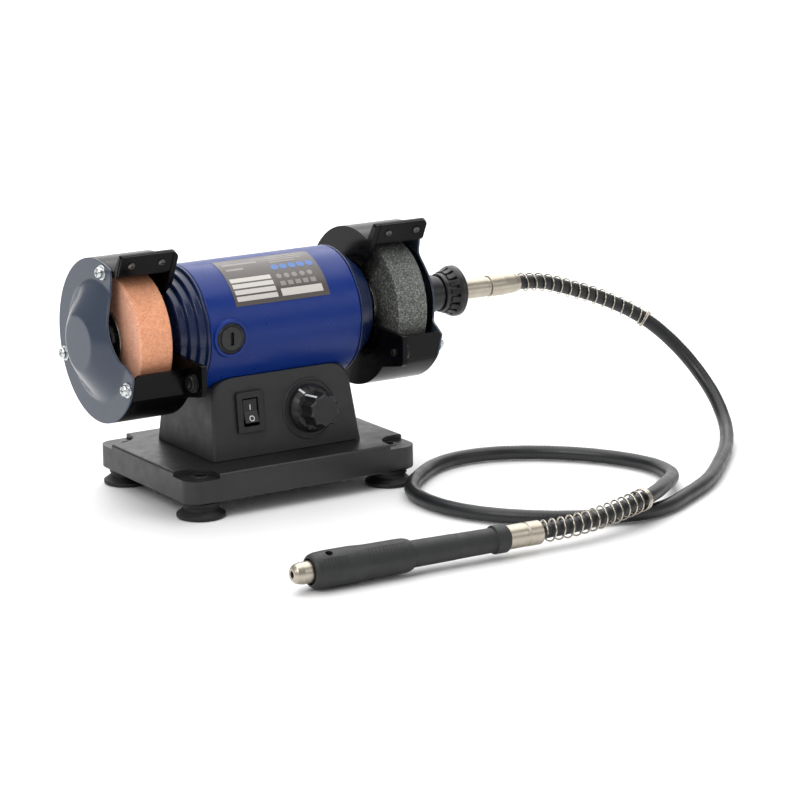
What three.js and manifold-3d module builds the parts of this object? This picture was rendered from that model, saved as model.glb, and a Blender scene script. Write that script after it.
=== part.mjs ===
// Mini bench grinder with a flexible drive shaft and handpiece. Millimetres, +Z up, +X along the motor shaft.
import * as THREE from "three";
import { mergeVertices } from "three/addons/utils/BufferGeometryUtils.js";
import Module from "manifold-3d";

const wasm = await Module();
wasm.setup();

// Driving dimensions. Machine frame: origin on the bench under the middle of the motor, front towards -Y.
const MACHINE_X = -10.3; // centres the machine, dome to output thread, on the part's origin
const AXIS_Z = 96;
const GAP = 0.3; // left between neighbouring pieces
const FAR = 60; // past the machine, for a cut that runs right through
const ROUND = 32; // facets of a large circle
const SMALL_ROUND = 14; // facets of a small circle

const WHEEL = { radius: 37.5, width: 20, bore: 5.25, centre: 82.9, chamfer: 0.9 };
const BARREL = { radius: 36.8, wall: 1.6, halfLength: 48.6 };
const BRUSH = { x: -36.7, bossRadius: 10.6, capRadius: 8.6, bossFace: 38.2 };
const BELL = { start: 46, step1: 50.4, step2: 54.2, step3: 58.3, face: 62.7, boss: 66 };
const BELL_RADII = { step2: 34.2, step3: 30.8, face: 27.2, boss: 18, bore: 5.2 };
const BEARING = { inner: 55.4, outer: 62.3, radius: 11, bore: 4.25 };
const SHAFT = { radius: 4, threadRadius: 5, end: 104, driveRadius: 3.2, driveEnd: 124 };
const FLANGE = { radius: 16.5, thickness: 2.4, hub: 9 };
const STATOR = { start: -16, end: 30, bore: 24.5 };
const COMMUTATOR = { start: -43.5, end: -29.5, radius: 11 };
const FAN = { start: 39, disc: 43, end: 44, hub: 8, radius: 22, blades: 6 };
const ROTOR_BORE = 4.2; // of what is pressed on the shaft
const CARBON = { inner: 11.6, outer: 26.6, halfLength: 3.2, halfWidth: 2.5 };
const GUARD = {
  radius: 46.2,
  wall: 1.5,
  plateInner: 63.3,
  plateOuter: 66.3,
  bandEnd: 98.9,
  hole: 19.5,
  backTop: -19.9,
};
const FRONT_FLAT = { bottom: -37.6, lean: [-42.5, -12], inside: [-40.9, -12] };
const VISOR = { root: [-22.2, 38.6], tip: [-28.5, 51.5], holes: [73.2, 91.8], holeUp: 8.4 };
const TAB = { front: -57, top: -8.4, bottom: -25.5, holeEnd: -7, bolt: [-49.4, -18.8] };
const COVER = { thickness: 1.2, domeBase: 34, domeTop: 15.5, domeHeight: 11.5, outlet: 8.3, screwRadius: 41 };
const SCREW_HOLE = 1.9;
const COVER_SCREW_ANGLES = [103, -20, 211]; // degrees from +Y towards +Z
const BASE = { halfLength: 74.7, halfWidth: 55.3, bottom: 9.4, top: 25.4, corner: 9, wall: 3, roof: 3 };
const PAD = { x: 55.5, y: 36.5, depth: 2.8, corner: 9 };
const FOOT = { x: 61.5, y: 43.4, radius: 13.8, neck: 9.4, stem: 2.6, hole: 3 };
const PEDESTAL = {
  bottom: 25.7,
  top: 71,
  halfLength: 47,
  halfWidth: 33.3,
  topHalfLength: 44,
  topHalfWidth: 28,
  rightFlare: 2.6,
};
const PEDESTAL_WALL = 2.5;
const PEDESTAL_CORNER = 12;
const PANEL_LEAN = Math.atan2(
  PEDESTAL.halfWidth - PEDESTAL.topHalfWidth,
  PEDESTAL.top - PEDESTAL.bottom,
);
const SWITCH = { x: -22, up: 25.3, width: 17.2, height: 23.4, bodyWidth: 13, bodyHeight: 19 };
const ROCKER = { halfWidth: 4.5, halfHeight: 7, hingeDepth: 2, restTilt: 9 };
const KNOB = { x: 17, up: 22, skirt: 13.8, grip: 10, height: 18, ringRadius: 17.5 };
const GLAND = { x: -24, up: 14, hole: 5.4, cable: 3.4 };
const COLLAR = { start: 112.2, end: 123.4, threadEnd: 132.5, radius: 11, bore: 5.6 };
const NUT = { start: 123.8, flange: 131.2, end: 137.3, radius: 11.5, flangeRadius: 15.1 };
const FERRULE = { start: 133.2, length: 48.1, tilt: THREE.MathUtils.degToRad(0.6) };
const TUBE_RADIUS = 4.1;
const SHEATH_BORE = 2.2; // of the ferrules, round the turning core
const TOOL_BORE = 3.4;
const DRIVE_SPRING = { radius: 5.15, wire: 0.45, length: 91, pitch: 6.4, closed: 2.5 };
const TOOL_SPRING = { radius: 5.8, wire: 0.5, length: 76, pitch: 5.6, closed: 2.5 };
const HANDPIECE = { rear: [54.2, -204, 9.9], turn: THREE.MathUtils.degToRad(177.2) };
const HANDPIECE_PARTS = { ferrule: 20.8, collar: 29.7, spindle: 60, barrel: 80, grip: 138.2, tip: 148.3 };

// The flexible shaft's route: off the coupling, down to the bench, one loop, and over itself to the handpiece.
const ROUTE = [
  [181.7, 0, 95.5],
  [200, 0, 93.4],
  [215, -1.5, 88.9],
  [237.5, -5, 80.8],
  [256.5, -13.5, 71],
  [267.5, -22, 62],
  [277.5, -32.5, 49.5],
  [283.5, -44.5, 36.5],
  [285, -59, 23.5],
  [280, -76, 11.5],
  [266, -96, 5.2],
  [234, -129.5, 4.25],
  [205, -155.5, 4.25],
  [177.3, -173, 4.25],
  [151, -186.5, 4.25],
  [130, -189, 4.25],
  [98, -176.5, 4.25],
  [77, -161, 4.25],
  [61.8, -143.2, 4.25],
  [52.5, -123.1, 4.25],
  [49.8, -100.5, 4.25],
  [53.8, -80.5, 4.25],
  [64, -65.5, 4.25],
  [78.8, -52, 4.25],
  [94, -41.3, 4.25],
  [113, -35, 4.25],
  [136, -37, 4.25],
  [160, -49.5, 4.25],
  [181, -70, 4.25],
  [194, -92, 4.25],
  [199, -113, 4.5],
  [194.5, -133.5, 5.6],
  [184.5, -149, 7.9],
  [172.5, -162, 10.4],
  [160, -174, 12.6],
  [147.5, -184.5, 13.6],
  [133, -193.5, 14],
  [115, -199.6, 13.2],
  [95, -203, 11.3],
  [75, -204.6, 10.2],
  [54.8, -204.03, 9.9],
].map((point) => new THREE.Vector3(...point));
const route = new THREE.CatmullRomCurve3(ROUTE, false, "centripetal");
route.arcLengthDivisions = 800;

// Solids and booleans.
function solidOf(geometry) {
  const plain = geometry.clone();
  plain.deleteAttribute("normal");
  plain.deleteAttribute("uv");
  const merged = mergeVertices(plain, 1e-4);
  const vertProperties = new Float32Array(merged.attributes.position.array);
  const triVerts = new Uint32Array(merged.index.array);
  return new wasm.Manifold(new wasm.Mesh({ numProp: 3, vertProperties, triVerts }));
}

function geometryOf(solid) {
  const mesh = solid.getMesh();
  const geometry = new THREE.BufferGeometry();
  geometry.setAttribute("position", new THREE.BufferAttribute(mesh.vertProperties, 3));
  geometry.setIndex(new THREE.BufferAttribute(mesh.triVerts, 1));
  return geometry;
}

function cut(body, ...tools) {
  return geometryOf(tools.reduce((left, tool) => left.subtract(solidOf(tool)), solidOf(body)));
}

function join(body, ...others) {
  return geometryOf(others.reduce((sum, other) => sum.add(solidOf(other)), solidOf(body)));
}

function common(first, second) {
  return geometryOf(solidOf(first).intersect(solidOf(second)));
}

// A profile of [x, radius] points turned about the X axis: outwards and left to right, then back inside.
function turned(profile, facets = SMALL_ROUND) {
  const points = profile.map(([x, radius]) => new THREE.Vector2(radius, x));
  return new THREE.LatheGeometry(points, facets).rotateZ(-Math.PI / 2);
}

function ring(x0, x1, outer, inner, facets = SMALL_ROUND) {
  return turned([[x0, inner], [x0, outer], [x1, outer], [x1, inner], [x0, inner]], facets);
}

function rod(x0, x1, radius, facets = SMALL_ROUND) {
  return turned([[x0, 0], [x0, radius], [x1, radius], [x1, 0]], facets);
}

function box(low, high) {
  const size = high.map((value, axis) => value - low[axis]);
  const middle = high.map((value, axis) => (value + low[axis]) / 2);
  return new THREE.BoxGeometry(...size).translate(...middle);
}

function shapeOf(points) {
  return new THREE.Shape(points.map(([x, y]) => new THREE.Vector2(x, y)));
}

function extruded(shape, depth, curveSegments = 8) {
  return new THREE.ExtrudeGeometry(shape, { depth, bevelEnabled: false, curveSegments });
}

// Prisms: a (y, z) outline along X, an (x, z) outline along Y, and an (x, y) outline along Z.
function prismX(shape, x0, x1, curveSegments) {
  const basis = new THREE.Matrix4().makeBasis(
    new THREE.Vector3(0, 1, 0),
    new THREE.Vector3(0, 0, 1),
    new THREE.Vector3(1, 0, 0),
  );
  return extruded(shape, x1 - x0, curveSegments).applyMatrix4(basis).translate(x0, 0, 0);
}

function prismY(shape, y0, y1, curveSegments) {
  return extruded(shape, y1 - y0, curveSegments).rotateX(Math.PI / 2).translate(0, y1, 0);
}

function prismZ(shape, z0, z1, curveSegments) {
  return extruded(shape, z1 - z0, curveSegments).translate(0, 0, z0);
}

function roundedRectangle(halfX, halfY, corner) {
  const shape = new THREE.Shape();
  const x = halfX - corner;
  const y = halfY - corner;
  shape.absarc(x, y, corner, 0, Math.PI / 2);
  shape.absarc(-x, y, corner, Math.PI / 2, Math.PI);
  shape.absarc(-x, -y, corner, Math.PI, 1.5 * Math.PI);
  shape.absarc(x, -y, corner, 1.5 * Math.PI, 2 * Math.PI);
  return shape;
}

// Turns a piece built along +X so that it stands out of a front panel, towards -Y.
function facingFront(geometry) {
  return geometry.rotateZ(-Math.PI / 2);
}

const root = new THREE.Group();
root.position.x = MACHINE_X;
const onAxis = new THREE.Group();
onAxis.position.z = AXIS_Z;
root.add(onAxis);

const LOOKS = {
  charcoal: { color: 0x37383a, roughness: 0.6, metalness: 0 },
  rubber: { color: 0x17171a, roughness: 0.8, metalness: 0 },
  black: { color: 0x0e0e10, roughness: 0.25, metalness: 0 },
  slate: { color: 0x666c7a, roughness: 0.35, metalness: 0.2 },
  blue: { color: 0x1f3a8c, roughness: 0.35, metalness: 0.1 },
  navy: { color: 0x101c40, roughness: 0.25, metalness: 0.1 },
  nickel: { color: 0xd8d2c6, roughness: 0.25, metalness: 1 },
  zinc: { color: 0xd5dade, roughness: 0.3, metalness: 1 },
  steel: { color: 0x9b9ca0, roughness: 0.35, metalness: 1 },
  copper: { color: 0xb4683a, roughness: 0.35, metalness: 1 },
  carbon: { color: 0x202022, roughness: 0.9, metalness: 0 },
  board: { color: 0x1f5a35, roughness: 0.6, metalness: 0 },
  orange: { color: 0xd68a60, roughness: 0.95, metalness: 0 },
  grit: { color: 0x5f625f, roughness: 0.95, metalness: 0 },
};

function place(parent, name, geometry, look) {
  const mesh = new THREE.Mesh(geometry, new THREE.MeshStandardMaterial(LOOKS[look]));
  mesh.name = name;
  parent.add(mesh);
  return mesh;
}

// Base, feet and pedestal.
function footHoles() {
  return [-1, 1].flatMap((sx) =>
    [-1, 1].map((sy) =>
      rod(0, FAR, FOOT.hole).rotateY(-Math.PI / 2).translate(sx * FOOT.x, sy * FOOT.y, 0),
    ),
  );
}

function cornerPads(halfX, halfY, z0, z1) {
  const reach = 40; // past the base's edge
  return [-1, 1].flatMap((sx) =>
    [-1, 1].map((sy) =>
      prismZ(roundedRectangle(reach, reach, PAD.corner), z0, z1, 5).translate(
        sx * (halfX + reach),
        sy * (halfY + reach),
        0,
      ),
    ),
  );
}

function hollowUnderBase(inset) {
  const outline = roundedRectangle(
    BASE.halfLength - BASE.wall - inset,
    BASE.halfWidth - BASE.wall - inset,
    BASE.corner - BASE.wall,
  );
  const room = prismZ(outline, BASE.bottom - 1, BASE.top - BASE.roof, 4);
  const boss = 1.5; // how far the solid corners reach inside the pads
  return cut(room, ...cornerPads(PAD.x - boss - inset, PAD.y - boss - inset, 0, AXIS_Z));
}

function addBase() {
  const block = prismZ(
    roundedRectangle(BASE.halfLength, BASE.halfWidth, BASE.corner),
    BASE.bottom,
    BASE.top,
    6,
  );
  const pads = cornerPads(PAD.x, PAD.y, BASE.top - PAD.depth, AXIS_Z);
  place(root, "base_plate", cut(block, hollowUnderBase(0), ...pads, ...footHoles()), "charcoal");

  const { halfLength, halfWidth, bottom } = BASE;
  const lidThickness = 1.5;
  const lid = common(
    hollowUnderBase(GAP),
    box([-halfLength, -halfWidth, bottom], [halfLength, halfWidth, bottom + lidThickness]),
  );
  place(root, "bottom_cover", lid, "charcoal");
}

function addFeet() {
  const top = BASE.bottom - GAP;
  const profile = [
    [3.4, 0],
    [3.4, 4],
    [1.2, 9.5],
    [0, 11],
    [0, FOOT.radius],
    [2.2, FOOT.radius],
    [5, FOOT.neck],
    [top, FOOT.neck],
    [top, FOOT.stem],
    [20, FOOT.stem],
    [20, 0],
  ];
  for (const [side, sx] of [["left", -1], ["right", 1]])
    for (const [end, sy] of [["front", -1], ["rear", 1]]) {
      const foot = turned(profile, 14).rotateY(-Math.PI / 2);
      place(root, `foot_${end}_${side}`, foot, "rubber").position.set(sx * FOOT.x, sy * FOOT.y, 0);
    }
}

function pedestalFront(halfBottom, halfTop, z0, z1, corner) {
  const shape = new THREE.Shape();
  const slope = (halfBottom - halfTop) / (PEDESTAL.top - PEDESTAL.bottom);
  const edge = (z) => halfBottom - slope * (z - PEDESTAL.bottom);
  const rightEdge = (z) => edge(z) + (PEDESTAL.rightFlare * (PEDESTAL.top - z)) / (PEDESTAL.top - PEDESTAL.bottom);
  shape.moveTo(-edge(z0), z0);
  shape.lineTo(rightEdge(z0), z0);
  shape.lineTo(rightEdge(z1 - corner), z1 - corner);
  shape.quadraticCurveTo(rightEdge(z1), z1, rightEdge(z1) - corner, z1);
  shape.lineTo(corner - edge(z1), z1);
  shape.quadraticCurveTo(-edge(z1), z1, -edge(z1 - corner), z1 - corner);
  return shape;
}

function pedestalSide(halfBottom, halfTop, z0, z1) {
  const slope = (halfBottom - halfTop) / (PEDESTAL.top - PEDESTAL.bottom);
  const edge = (z) => halfBottom - slope * (z - PEDESTAL.bottom);
  return shapeOf([[-edge(z0), z0], [edge(z0), z0], [edge(z1), z1], [-edge(z1), z1]]);
}

function pedestalBlock(inset, z0, z1, corner) {
  const { halfLength, halfWidth, topHalfLength, topHalfWidth } = PEDESTAL;
  return common(
    prismY(pedestalFront(halfLength - inset, topHalfLength - inset, z0, z1, corner), -FAR, FAR),
    prismX(pedestalSide(halfWidth - inset, topHalfWidth - inset, z0, z1), -FAR, FAR),
  );
}

// A frame on the front (facing -1) or rear (facing 1) panel: X across, Z up the panel, -Y out of it.
function panelFrame(facing) {
  const frame = new THREE.Group();
  frame.rotation.order = "ZXY";
  frame.rotation.x = -PANEL_LEAN;
  frame.rotation.z = facing > 0 ? Math.PI : 0;
  frame.position.set(0, facing * PEDESTAL.halfWidth, PEDESTAL.bottom);
  frame.updateMatrix();
  return frame;
}

function addPedestal() {
  const front = panelFrame(-1);
  const rear = panelFrame(1);
  root.add(front, rear);

  const { bodyWidth, bodyHeight } = SWITCH;
  const clear = 0.4;
  const switchHole = box(
    [SWITCH.x - bodyWidth / 2 - clear, -5, SWITCH.up - bodyHeight / 2 - clear],
    [SWITCH.x + bodyWidth / 2 + clear, 15, SWITCH.up + bodyHeight / 2 + clear],
  );
  const knobHole = facingFront(rod(-8, 8, 4)).translate(KNOB.x, 0, KNOB.up);
  const dialRing = facingFront(ring(-1, 0.7, KNOB.ringRadius, KNOB.ringRadius - 1.4, 24));
  const glandHole = facingFront(rod(-8, 8, GLAND.hole)).translate(GLAND.x, 0, GLAND.up);
  const canHole = facingFront(rod(-14, -PEDESTAL_WALL, 8.8)).translate(KNOB.x, 0, KNOB.up);
  const holes = [switchHole, knobHole, canHole].map((hole) => hole.applyMatrix4(front.matrix));
  const shell = cut(
    pedestalBlock(0, PEDESTAL.bottom, PEDESTAL.top, PEDESTAL_CORNER),
    pedestalBlock(PEDESTAL_WALL, PEDESTAL.bottom - 1, AXIS_Z - BARREL.radius - 3.4, 3),
    rod(-FAR, FAR, BARREL.radius + GAP, ROUND).translate(0, 0, AXIS_Z),
    glandHole.applyMatrix4(rear.matrix),
    ...holes,
  );
  const body = join(shell, dialRing.translate(KNOB.x, 0, KNOB.up).applyMatrix4(front.matrix));
  place(root, "pedestal", body, "charcoal");
  addSwitch(front);
  addSpeedControl(front);
  addControlBoard();
  const gland = turned([
    [-4, GLAND.cable], [-4, GLAND.hole - GAP], [GAP, GLAND.hole - GAP], [GAP, 7.6], [2.2, 7.6],
    [2.2, 5.4], [10, 4.8], [10, GLAND.cable], [-4, GLAND.cable],
  ]);
  place(rear, "cable_gland", facingFront(gland), "rubber").position.set(GLAND.x, 0, GLAND.up);
}

function addSwitch(panel) {
  const { width, height, bodyWidth, bodyHeight } = SWITCH;
  const flange = box([-width / 2, -2.1, -height / 2], [width / 2, -GAP, height / 2]);
  const body = box([-bodyWidth / 2, -1, -bodyHeight / 2], [bodyWidth / 2, 14, bodyHeight / 2]);
  const well = box([-ROCKER.halfWidth - GAP, -5, -8], [ROCKER.halfWidth + GAP, 6, 8]);
  const housing = place(panel, "switch_housing", cut(join(flange, body), well), "black");
  housing.position.set(SWITCH.x, 0, SWITCH.up);

  const hinge = new THREE.Group();
  hinge.position.set(SWITCH.x, ROCKER.hingeDepth, SWITCH.up);
  hinge.rotation.x = THREE.MathUtils.degToRad(-ROCKER.restTilt);
  panel.add(hinge);
  const outline = shapeOf([
    [-4.4, -ROCKER.halfHeight],
    [1, -ROCKER.halfHeight + 0.8],
    [3, 0],
    [1, ROCKER.halfHeight - 0.8],
    [-4.4, ROCKER.halfHeight],
    [-3.1, 0],
  ]);
  place(hinge, "switch_rocker", prismX(outline, -ROCKER.halfWidth, ROCKER.halfWidth), "black");
}

function addSpeedControl(panel) {
  const flutes = 10;
  const steps = 40;
  const grip = new THREE.Shape();
  for (let step = 0; step < steps; step += 1) {
    const angle = (step / steps) * 2 * Math.PI;
    const radius = KNOB.grip + 0.7 * Math.cos(flutes * angle);
    const point = [radius * Math.cos(angle), radius * Math.sin(angle)];
    if (step === 0) grip.moveTo(...point);
    else grip.lineTo(...point);
  }
  const skirt = turned(
    [[1.2, 0], [1.2, KNOB.skirt], [3.6, KNOB.skirt], [6.4, KNOB.skirt - 2], [6.4, 0]],
    24,
  );
  const stem = rod(-6, 2, 1.9);
  const knob = join(skirt, stem, prismX(grip, 5, KNOB.height));
  place(panel, "speed_knob", facingFront(knob), "black").position.set(KNOB.x, 0, KNOB.up);

  const can = 8.2;
  const potentiometer = turned([
    [-12, 2.2], [-12, can], [-PEDESTAL_WALL - GAP, can], [-PEDESTAL_WALL - GAP, 3.6],
    [0.6, 3.6], [0.6, 2.2], [-12, 2.2],
  ]);
  const behindKnob = place(panel, "speed_potentiometer", facingFront(potentiometer), "steel");
  behindKnob.position.set(KNOB.x, 0, KNOB.up);
}

function addControlBoard() {
  const board = box([-8, 8, 27], [34, 9.6, 52]);
  const choke = rod(0, 9, 6).rotateZ(Math.PI / 2).translate(22, 9, 40);
  const triac = box([-4, 4.5, 30], [6, 8.5, 44]);
  place(root, "control_board", join(board, choke, triac), "board");
}

// Motor.
function addMotorCase() {
  const { radius, wall, halfLength } = BARREL;
  const bosses = [-1, 1].map((facing) =>
    rod(radius - 4, BRUSH.bossFace, BRUSH.bossRadius, 20)
      .rotateZ((facing * Math.PI) / 2)
      .translate(BRUSH.x, 0, 0),
  );
  const skin = join(rod(-halfLength, halfLength, radius, ROUND), ...bosses);
  const capHoles = rod(-FAR, FAR, BRUSH.capRadius + GAP, 20)
    .rotateZ(Math.PI / 2)
    .translate(BRUSH.x, 0, 0);
  const inside = rod(-FAR, FAR, radius - wall, ROUND);
  place(onAxis, "motor_barrel", cut(skin, inside, capHoles), "blue");

  for (const [end, facing] of [["front", -1], ["rear", 1]]) {
    const cap = turned([
      [27, 0], [27, 5], [33, 5], [33, BRUSH.capRadius], [38.2, BRUSH.capRadius],
      [39, BRUSH.capRadius - 0.8], [39, 0],
    ], 20);
    const slot = box([38, -4.6, -1], [41, 4.6, 1]);
    const capAndSlot = cut(cap, slot).rotateX(Math.PI / 2).rotateZ((facing * Math.PI) / 2);
    place(onAxis, `brush_cap_${end}`, capAndSlot, "black").position.x = BRUSH.x;
    const { inner, outer, halfLength: half, halfWidth } = CARBON;
    const carbon = box([-half, inner, -halfWidth], [half, outer, halfWidth]);
    const brush = place(onAxis, `carbon_brush_${end}`, carbon, "carbon");
    brush.position.x = BRUSH.x;
    brush.rotation.z = facing < 0 ? Math.PI : 0;
  }
  const stator = ring(STATOR.start, STATOR.end, radius - wall - 0.4, STATOR.bore, ROUND);
  place(onAxis, "field_stator", stator, "steel");
}

function addRotor() {
  const { radius, threadRadius, end, driveRadius, driveEnd } = SHAFT;
  const inner = WHEEL.centre - WHEEL.width / 2 - GAP;
  const outer = WHEEL.centre + WHEEL.width / 2 + GAP;
  const flangeStart = inner - FLANGE.thickness;
  const hubStart = BELL.boss + 0.8;
  const shaft = turned([
    [-end, 0], [-end, threadRadius - 0.6], [-end + 0.8, threadRadius], [-inner, threadRadius],
    [-inner, FLANGE.radius], [-flangeStart, FLANGE.radius], [-flangeStart, FLANGE.hub],
    [-hubStart, FLANGE.hub], [-hubStart, radius], [hubStart, radius], [hubStart, FLANGE.hub],
    [flangeStart, FLANGE.hub], [flangeStart, FLANGE.radius], [inner, FLANGE.radius],
    [inner, threadRadius], [end, threadRadius], [end, driveRadius], [driveEnd, driveRadius],
    [driveEnd, 0],
  ], 14);
  place(onAxis, "motor_shaft", shaft, "steel");

  const armature = turned([
    [-26, ROTOR_BORE], [-26, 14], [-24, 19], [-14, 19], [-14, 23.8], [28, 23.8], [28, 19], [36, 19],
    [38, 14], [38, ROTOR_BORE], [-26, ROTOR_BORE],
  ], 16);
  place(onAxis, "armature", armature, "copper");
  const bars = 28;
  const commutator = ring(COMMUTATOR.start, COMMUTATOR.end, COMMUTATOR.radius, ROTOR_BORE, bars);
  place(onAxis, "commutator", commutator, "copper");
  addFan();

  const { width, chamfer } = WHEEL;
  const half = width / 2;
  const wheel = [
    [-half, WHEEL.bore], [-half, WHEEL.radius - chamfer], [chamfer - half, WHEEL.radius],
    [half - chamfer, WHEEL.radius], [half, WHEEL.radius - chamfer], [half, WHEEL.bore],
    [-half, WHEEL.bore],
  ];
  const flange = [
    [outer, WHEEL.bore], [outer, FLANGE.radius], [outer + 1.4, FLANGE.radius],
    [outer + FLANGE.thickness, 13], [outer + FLANGE.thickness, WHEEL.bore], [outer, WHEEL.bore],
  ];
  const nutStart = outer + FLANGE.thickness + GAP;
  for (const [side, sx, look] of [["left", -1, "orange"], ["right", 1, "grit"]]) {
    const outward = new THREE.Group();
    outward.rotation.z = sx < 0 ? Math.PI : 0;
    onAxis.add(outward);
    place(outward, `grinding_wheel_${side}`, turned(wheel, 40), look).position.x = WHEEL.centre;
    place(outward, `wheel_flange_${side}`, turned(flange, 24), "steel");
    const nut = cut(rod(nutStart, nutStart + 6.4, 9.2, 6), rod(nutStart - 1, nutStart + 8, WHEEL.bore));
    place(outward, `wheel_nut_${side}`, nut, "zinc");
  }
}

function addFan() {
  const { start, disc, end, hub, radius, blades } = FAN;
  const halfBlade = 0.6;
  const boss = ring(start, end, hub, ROTOR_BORE);
  const plate = ring(disc, end, radius, hub - 2);
  const blade = box([start, hub - 1, -halfBlade], [disc + halfBlade, radius - halfBlade, halfBlade]);
  const turnedBlades = Array.from({ length: blades }, (_, index) =>
    blade.clone().rotateX((index / blades) * 2 * Math.PI),
  );
  place(onAxis, "cooling_fan", join(boss, plate, ...turnedBlades), "charcoal");
}

// Each end of the machine is built for +X and mirrored for the other side.
function addEndBell(side, name) {
  const { step1, step2, step3, face, boss } = BELL;
  const radii = BELL_RADII;
  const seat = BEARING.radius + 0.25;
  const rim = BARREL.halfLength + GAP;
  const spigot = BARREL.radius - BARREL.wall - GAP;
  const bell = turned([
    [BELL.start, spigot - 2], [BELL.start, spigot], [rim, spigot], [rim, BARREL.radius],
    [step1, BARREL.radius], [step1, radii.step2], [step2, radii.step2], [step2, radii.step3],
    [step3, radii.step3], [step3, radii.face], [face, radii.face], [face, radii.boss],
    [boss, radii.boss], [boss, radii.bore], [BEARING.outer + GAP, radii.bore],
    [BEARING.outer + GAP, seat], [BEARING.inner - GAP, seat],
    [BEARING.inner - GAP, 24], [BELL.start, spigot - 2],
  ], ROUND);
  place(side, `end_bell_${name}`, bell, "navy");
  const bearing = ring(BEARING.inner, BEARING.outer, BEARING.radius, BEARING.bore, 20);
  place(side, `bearing_${name}`, bearing, "steel");
}

function pointAt(radius, degrees) {
  const angle = THREE.MathUtils.degToRad(degrees);
  return [radius * Math.cos(angle), radius * Math.sin(angle)];
}

function angleOf([y, z]) {
  return Math.atan2(z, y);
}

// The visor's back edge, where it leaves the drum.
const VISOR_DIRECTION = new THREE.Vector2(
  VISOR.tip[0] - VISOR.root[0],
  VISOR.tip[1] - VISOR.root[1],
).normalize();
const VISOR_NORMAL = new THREE.Vector2(-VISOR_DIRECTION.y, VISOR_DIRECTION.x);

function onVisor(up, out) {
  return [
    VISOR.root[0] + VISOR_DIRECTION.x * up + VISOR_NORMAL.x * out,
    VISOR.root[1] + VISOR_DIRECTION.y * up + VISOR_NORMAL.y * out,
  ];
}

function circlePoint(radius, y, sign) {
  return [y, sign * Math.sqrt(radius * radius - y * y)];
}

// The drum round the wheel: open in front between the visor and the low, leaning front flat.
function guardBand() {
  const inner = GUARD.radius - GUARD.wall;
  const outerStart = circlePoint(GUARD.radius, FRONT_FLAT.bottom, -1);
  const outerEnd = circlePoint(GUARD.radius, GUARD.backTop, 1);
  const innerStart = circlePoint(inner, FRONT_FLAT.bottom + GUARD.wall, -1);
  const innerEnd = circlePoint(inner, GUARD.backTop - 1, 1);
  const shape = new THREE.Shape();
  shape.moveTo(...FRONT_FLAT.lean);
  shape.lineTo(...outerStart);
  shape.absarc(0, 0, GUARD.radius, angleOf(outerStart), angleOf(outerEnd), false);
  shape.lineTo(...onVisor(14.2, -GUARD.wall));
  shape.lineTo(...VISOR.tip);
  shape.lineTo(...VISOR.root);
  shape.absarc(0, 0, inner, angleOf(innerEnd), angleOf(innerStart), true);
  shape.lineTo(...FRONT_FLAT.inside);
  return prismX(shape, GUARD.plateOuter - 1, GUARD.bandEnd, 16);
}

// The plate next to the motor, with its round hole, its open front and the tool-rest tab.
function guardPlate() {
  const { hole } = GUARD;
  const joinPoint = circlePoint(GUARD.radius, -36, -1);
  const backTop = circlePoint(GUARD.radius, GUARD.backTop, 1);
  const holeTop = circlePoint(hole, -12, 1);
  const holeBottom = [-Math.sqrt(hole * hole - TAB.holeEnd * TAB.holeEnd), TAB.holeEnd];
  const shape = new THREE.Shape();
  shape.moveTo(TAB.front, TAB.top);
  shape.lineTo(TAB.front, TAB.bottom + 2);
  shape.lineTo(TAB.front + 2, TAB.bottom);
  shape.lineTo(...joinPoint);
  shape.absarc(0, 0, GUARD.radius, angleOf(joinPoint), angleOf(backTop), false);
  shape.lineTo(...onVisor(14.2, -GUARD.wall));
  shape.lineTo(-29.8, 50.7);
  shape.lineTo(-24.25, 39.4);
  shape.lineTo(-20.5, 31.5);
  shape.lineTo(-11.5, 24);
  shape.lineTo(...holeTop);
  shape.absarc(0, 0, hole, angleOf(holeTop), angleOf(holeBottom), true);
  return prismX(shape, GUARD.plateInner, GUARD.plateOuter, 16);
}

function visorHoles(radius) {
  return VISOR.holes.map((x) => {
    const hole = rod(-6, 6, radius, 8).rotateZ(-Math.PI / 2);
    const lean = Math.atan2(VISOR_DIRECTION.x, VISOR_DIRECTION.y);
    const [y, z] = onVisor(VISOR.holeUp, 0);
    return hole.rotateX(-lean).translate(x, y, z);
  });
}

function addGuard(side, name) {
  const corner = 3;
  const [, top] = FRONT_FLAT.lean;
  const cornerCut = new THREE.Shape();
  cornerCut.moveTo(GUARD.bandEnd - corner, top);
  cornerCut.absarc(GUARD.bandEnd - corner, top - corner, corner, Math.PI / 2, 0, true);
  cornerCut.lineTo(GUARD.bandEnd + 2, top - corner);
  cornerCut.lineTo(GUARD.bandEnd + 2, top + 2);
  cornerCut.lineTo(GUARD.bandEnd - corner, top + 2);
  const lugs = COVER_SCREW_ANGLES.map((degrees) =>
    rod(GUARD.bandEnd - 4.5, GUARD.bandEnd, 4.1, 12).translate(0, ...pointAt(COVER.screwRadius, degrees)),
  );
  const screwHoles = COVER_SCREW_ANGLES.map((degrees) =>
    rod(93, 102, SCREW_HOLE, 8).translate(0, ...pointAt(COVER.screwRadius, degrees)),
  );
  const boltHole = rod(60, 70, 2.6, 14).translate(0, ...TAB.bolt);
  const shell = join(guardBand(), guardPlate(), ...lugs);
  const housing = cut(
    shell,
    prismY(cornerCut, -45, -36, 5),
    boltHole,
    ...screwHoles,
    ...visorHoles(SCREW_HOLE),
  );
  place(side, `guard_housing_${name}`, housing, "black");
  addCover(side, name, screwHoles);
  addDeflector(side, name);
  addToolRestBolt(side, name);
}

function domeHeight(radius) {
  const rise = (COVER.domeBase - radius) / (COVER.domeBase - COVER.domeTop);
  const eased = rise * rise * (3 - 2 * rise);
  return COVER.domeHeight * (0.7 * rise + 0.3 * eased);
}

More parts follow.
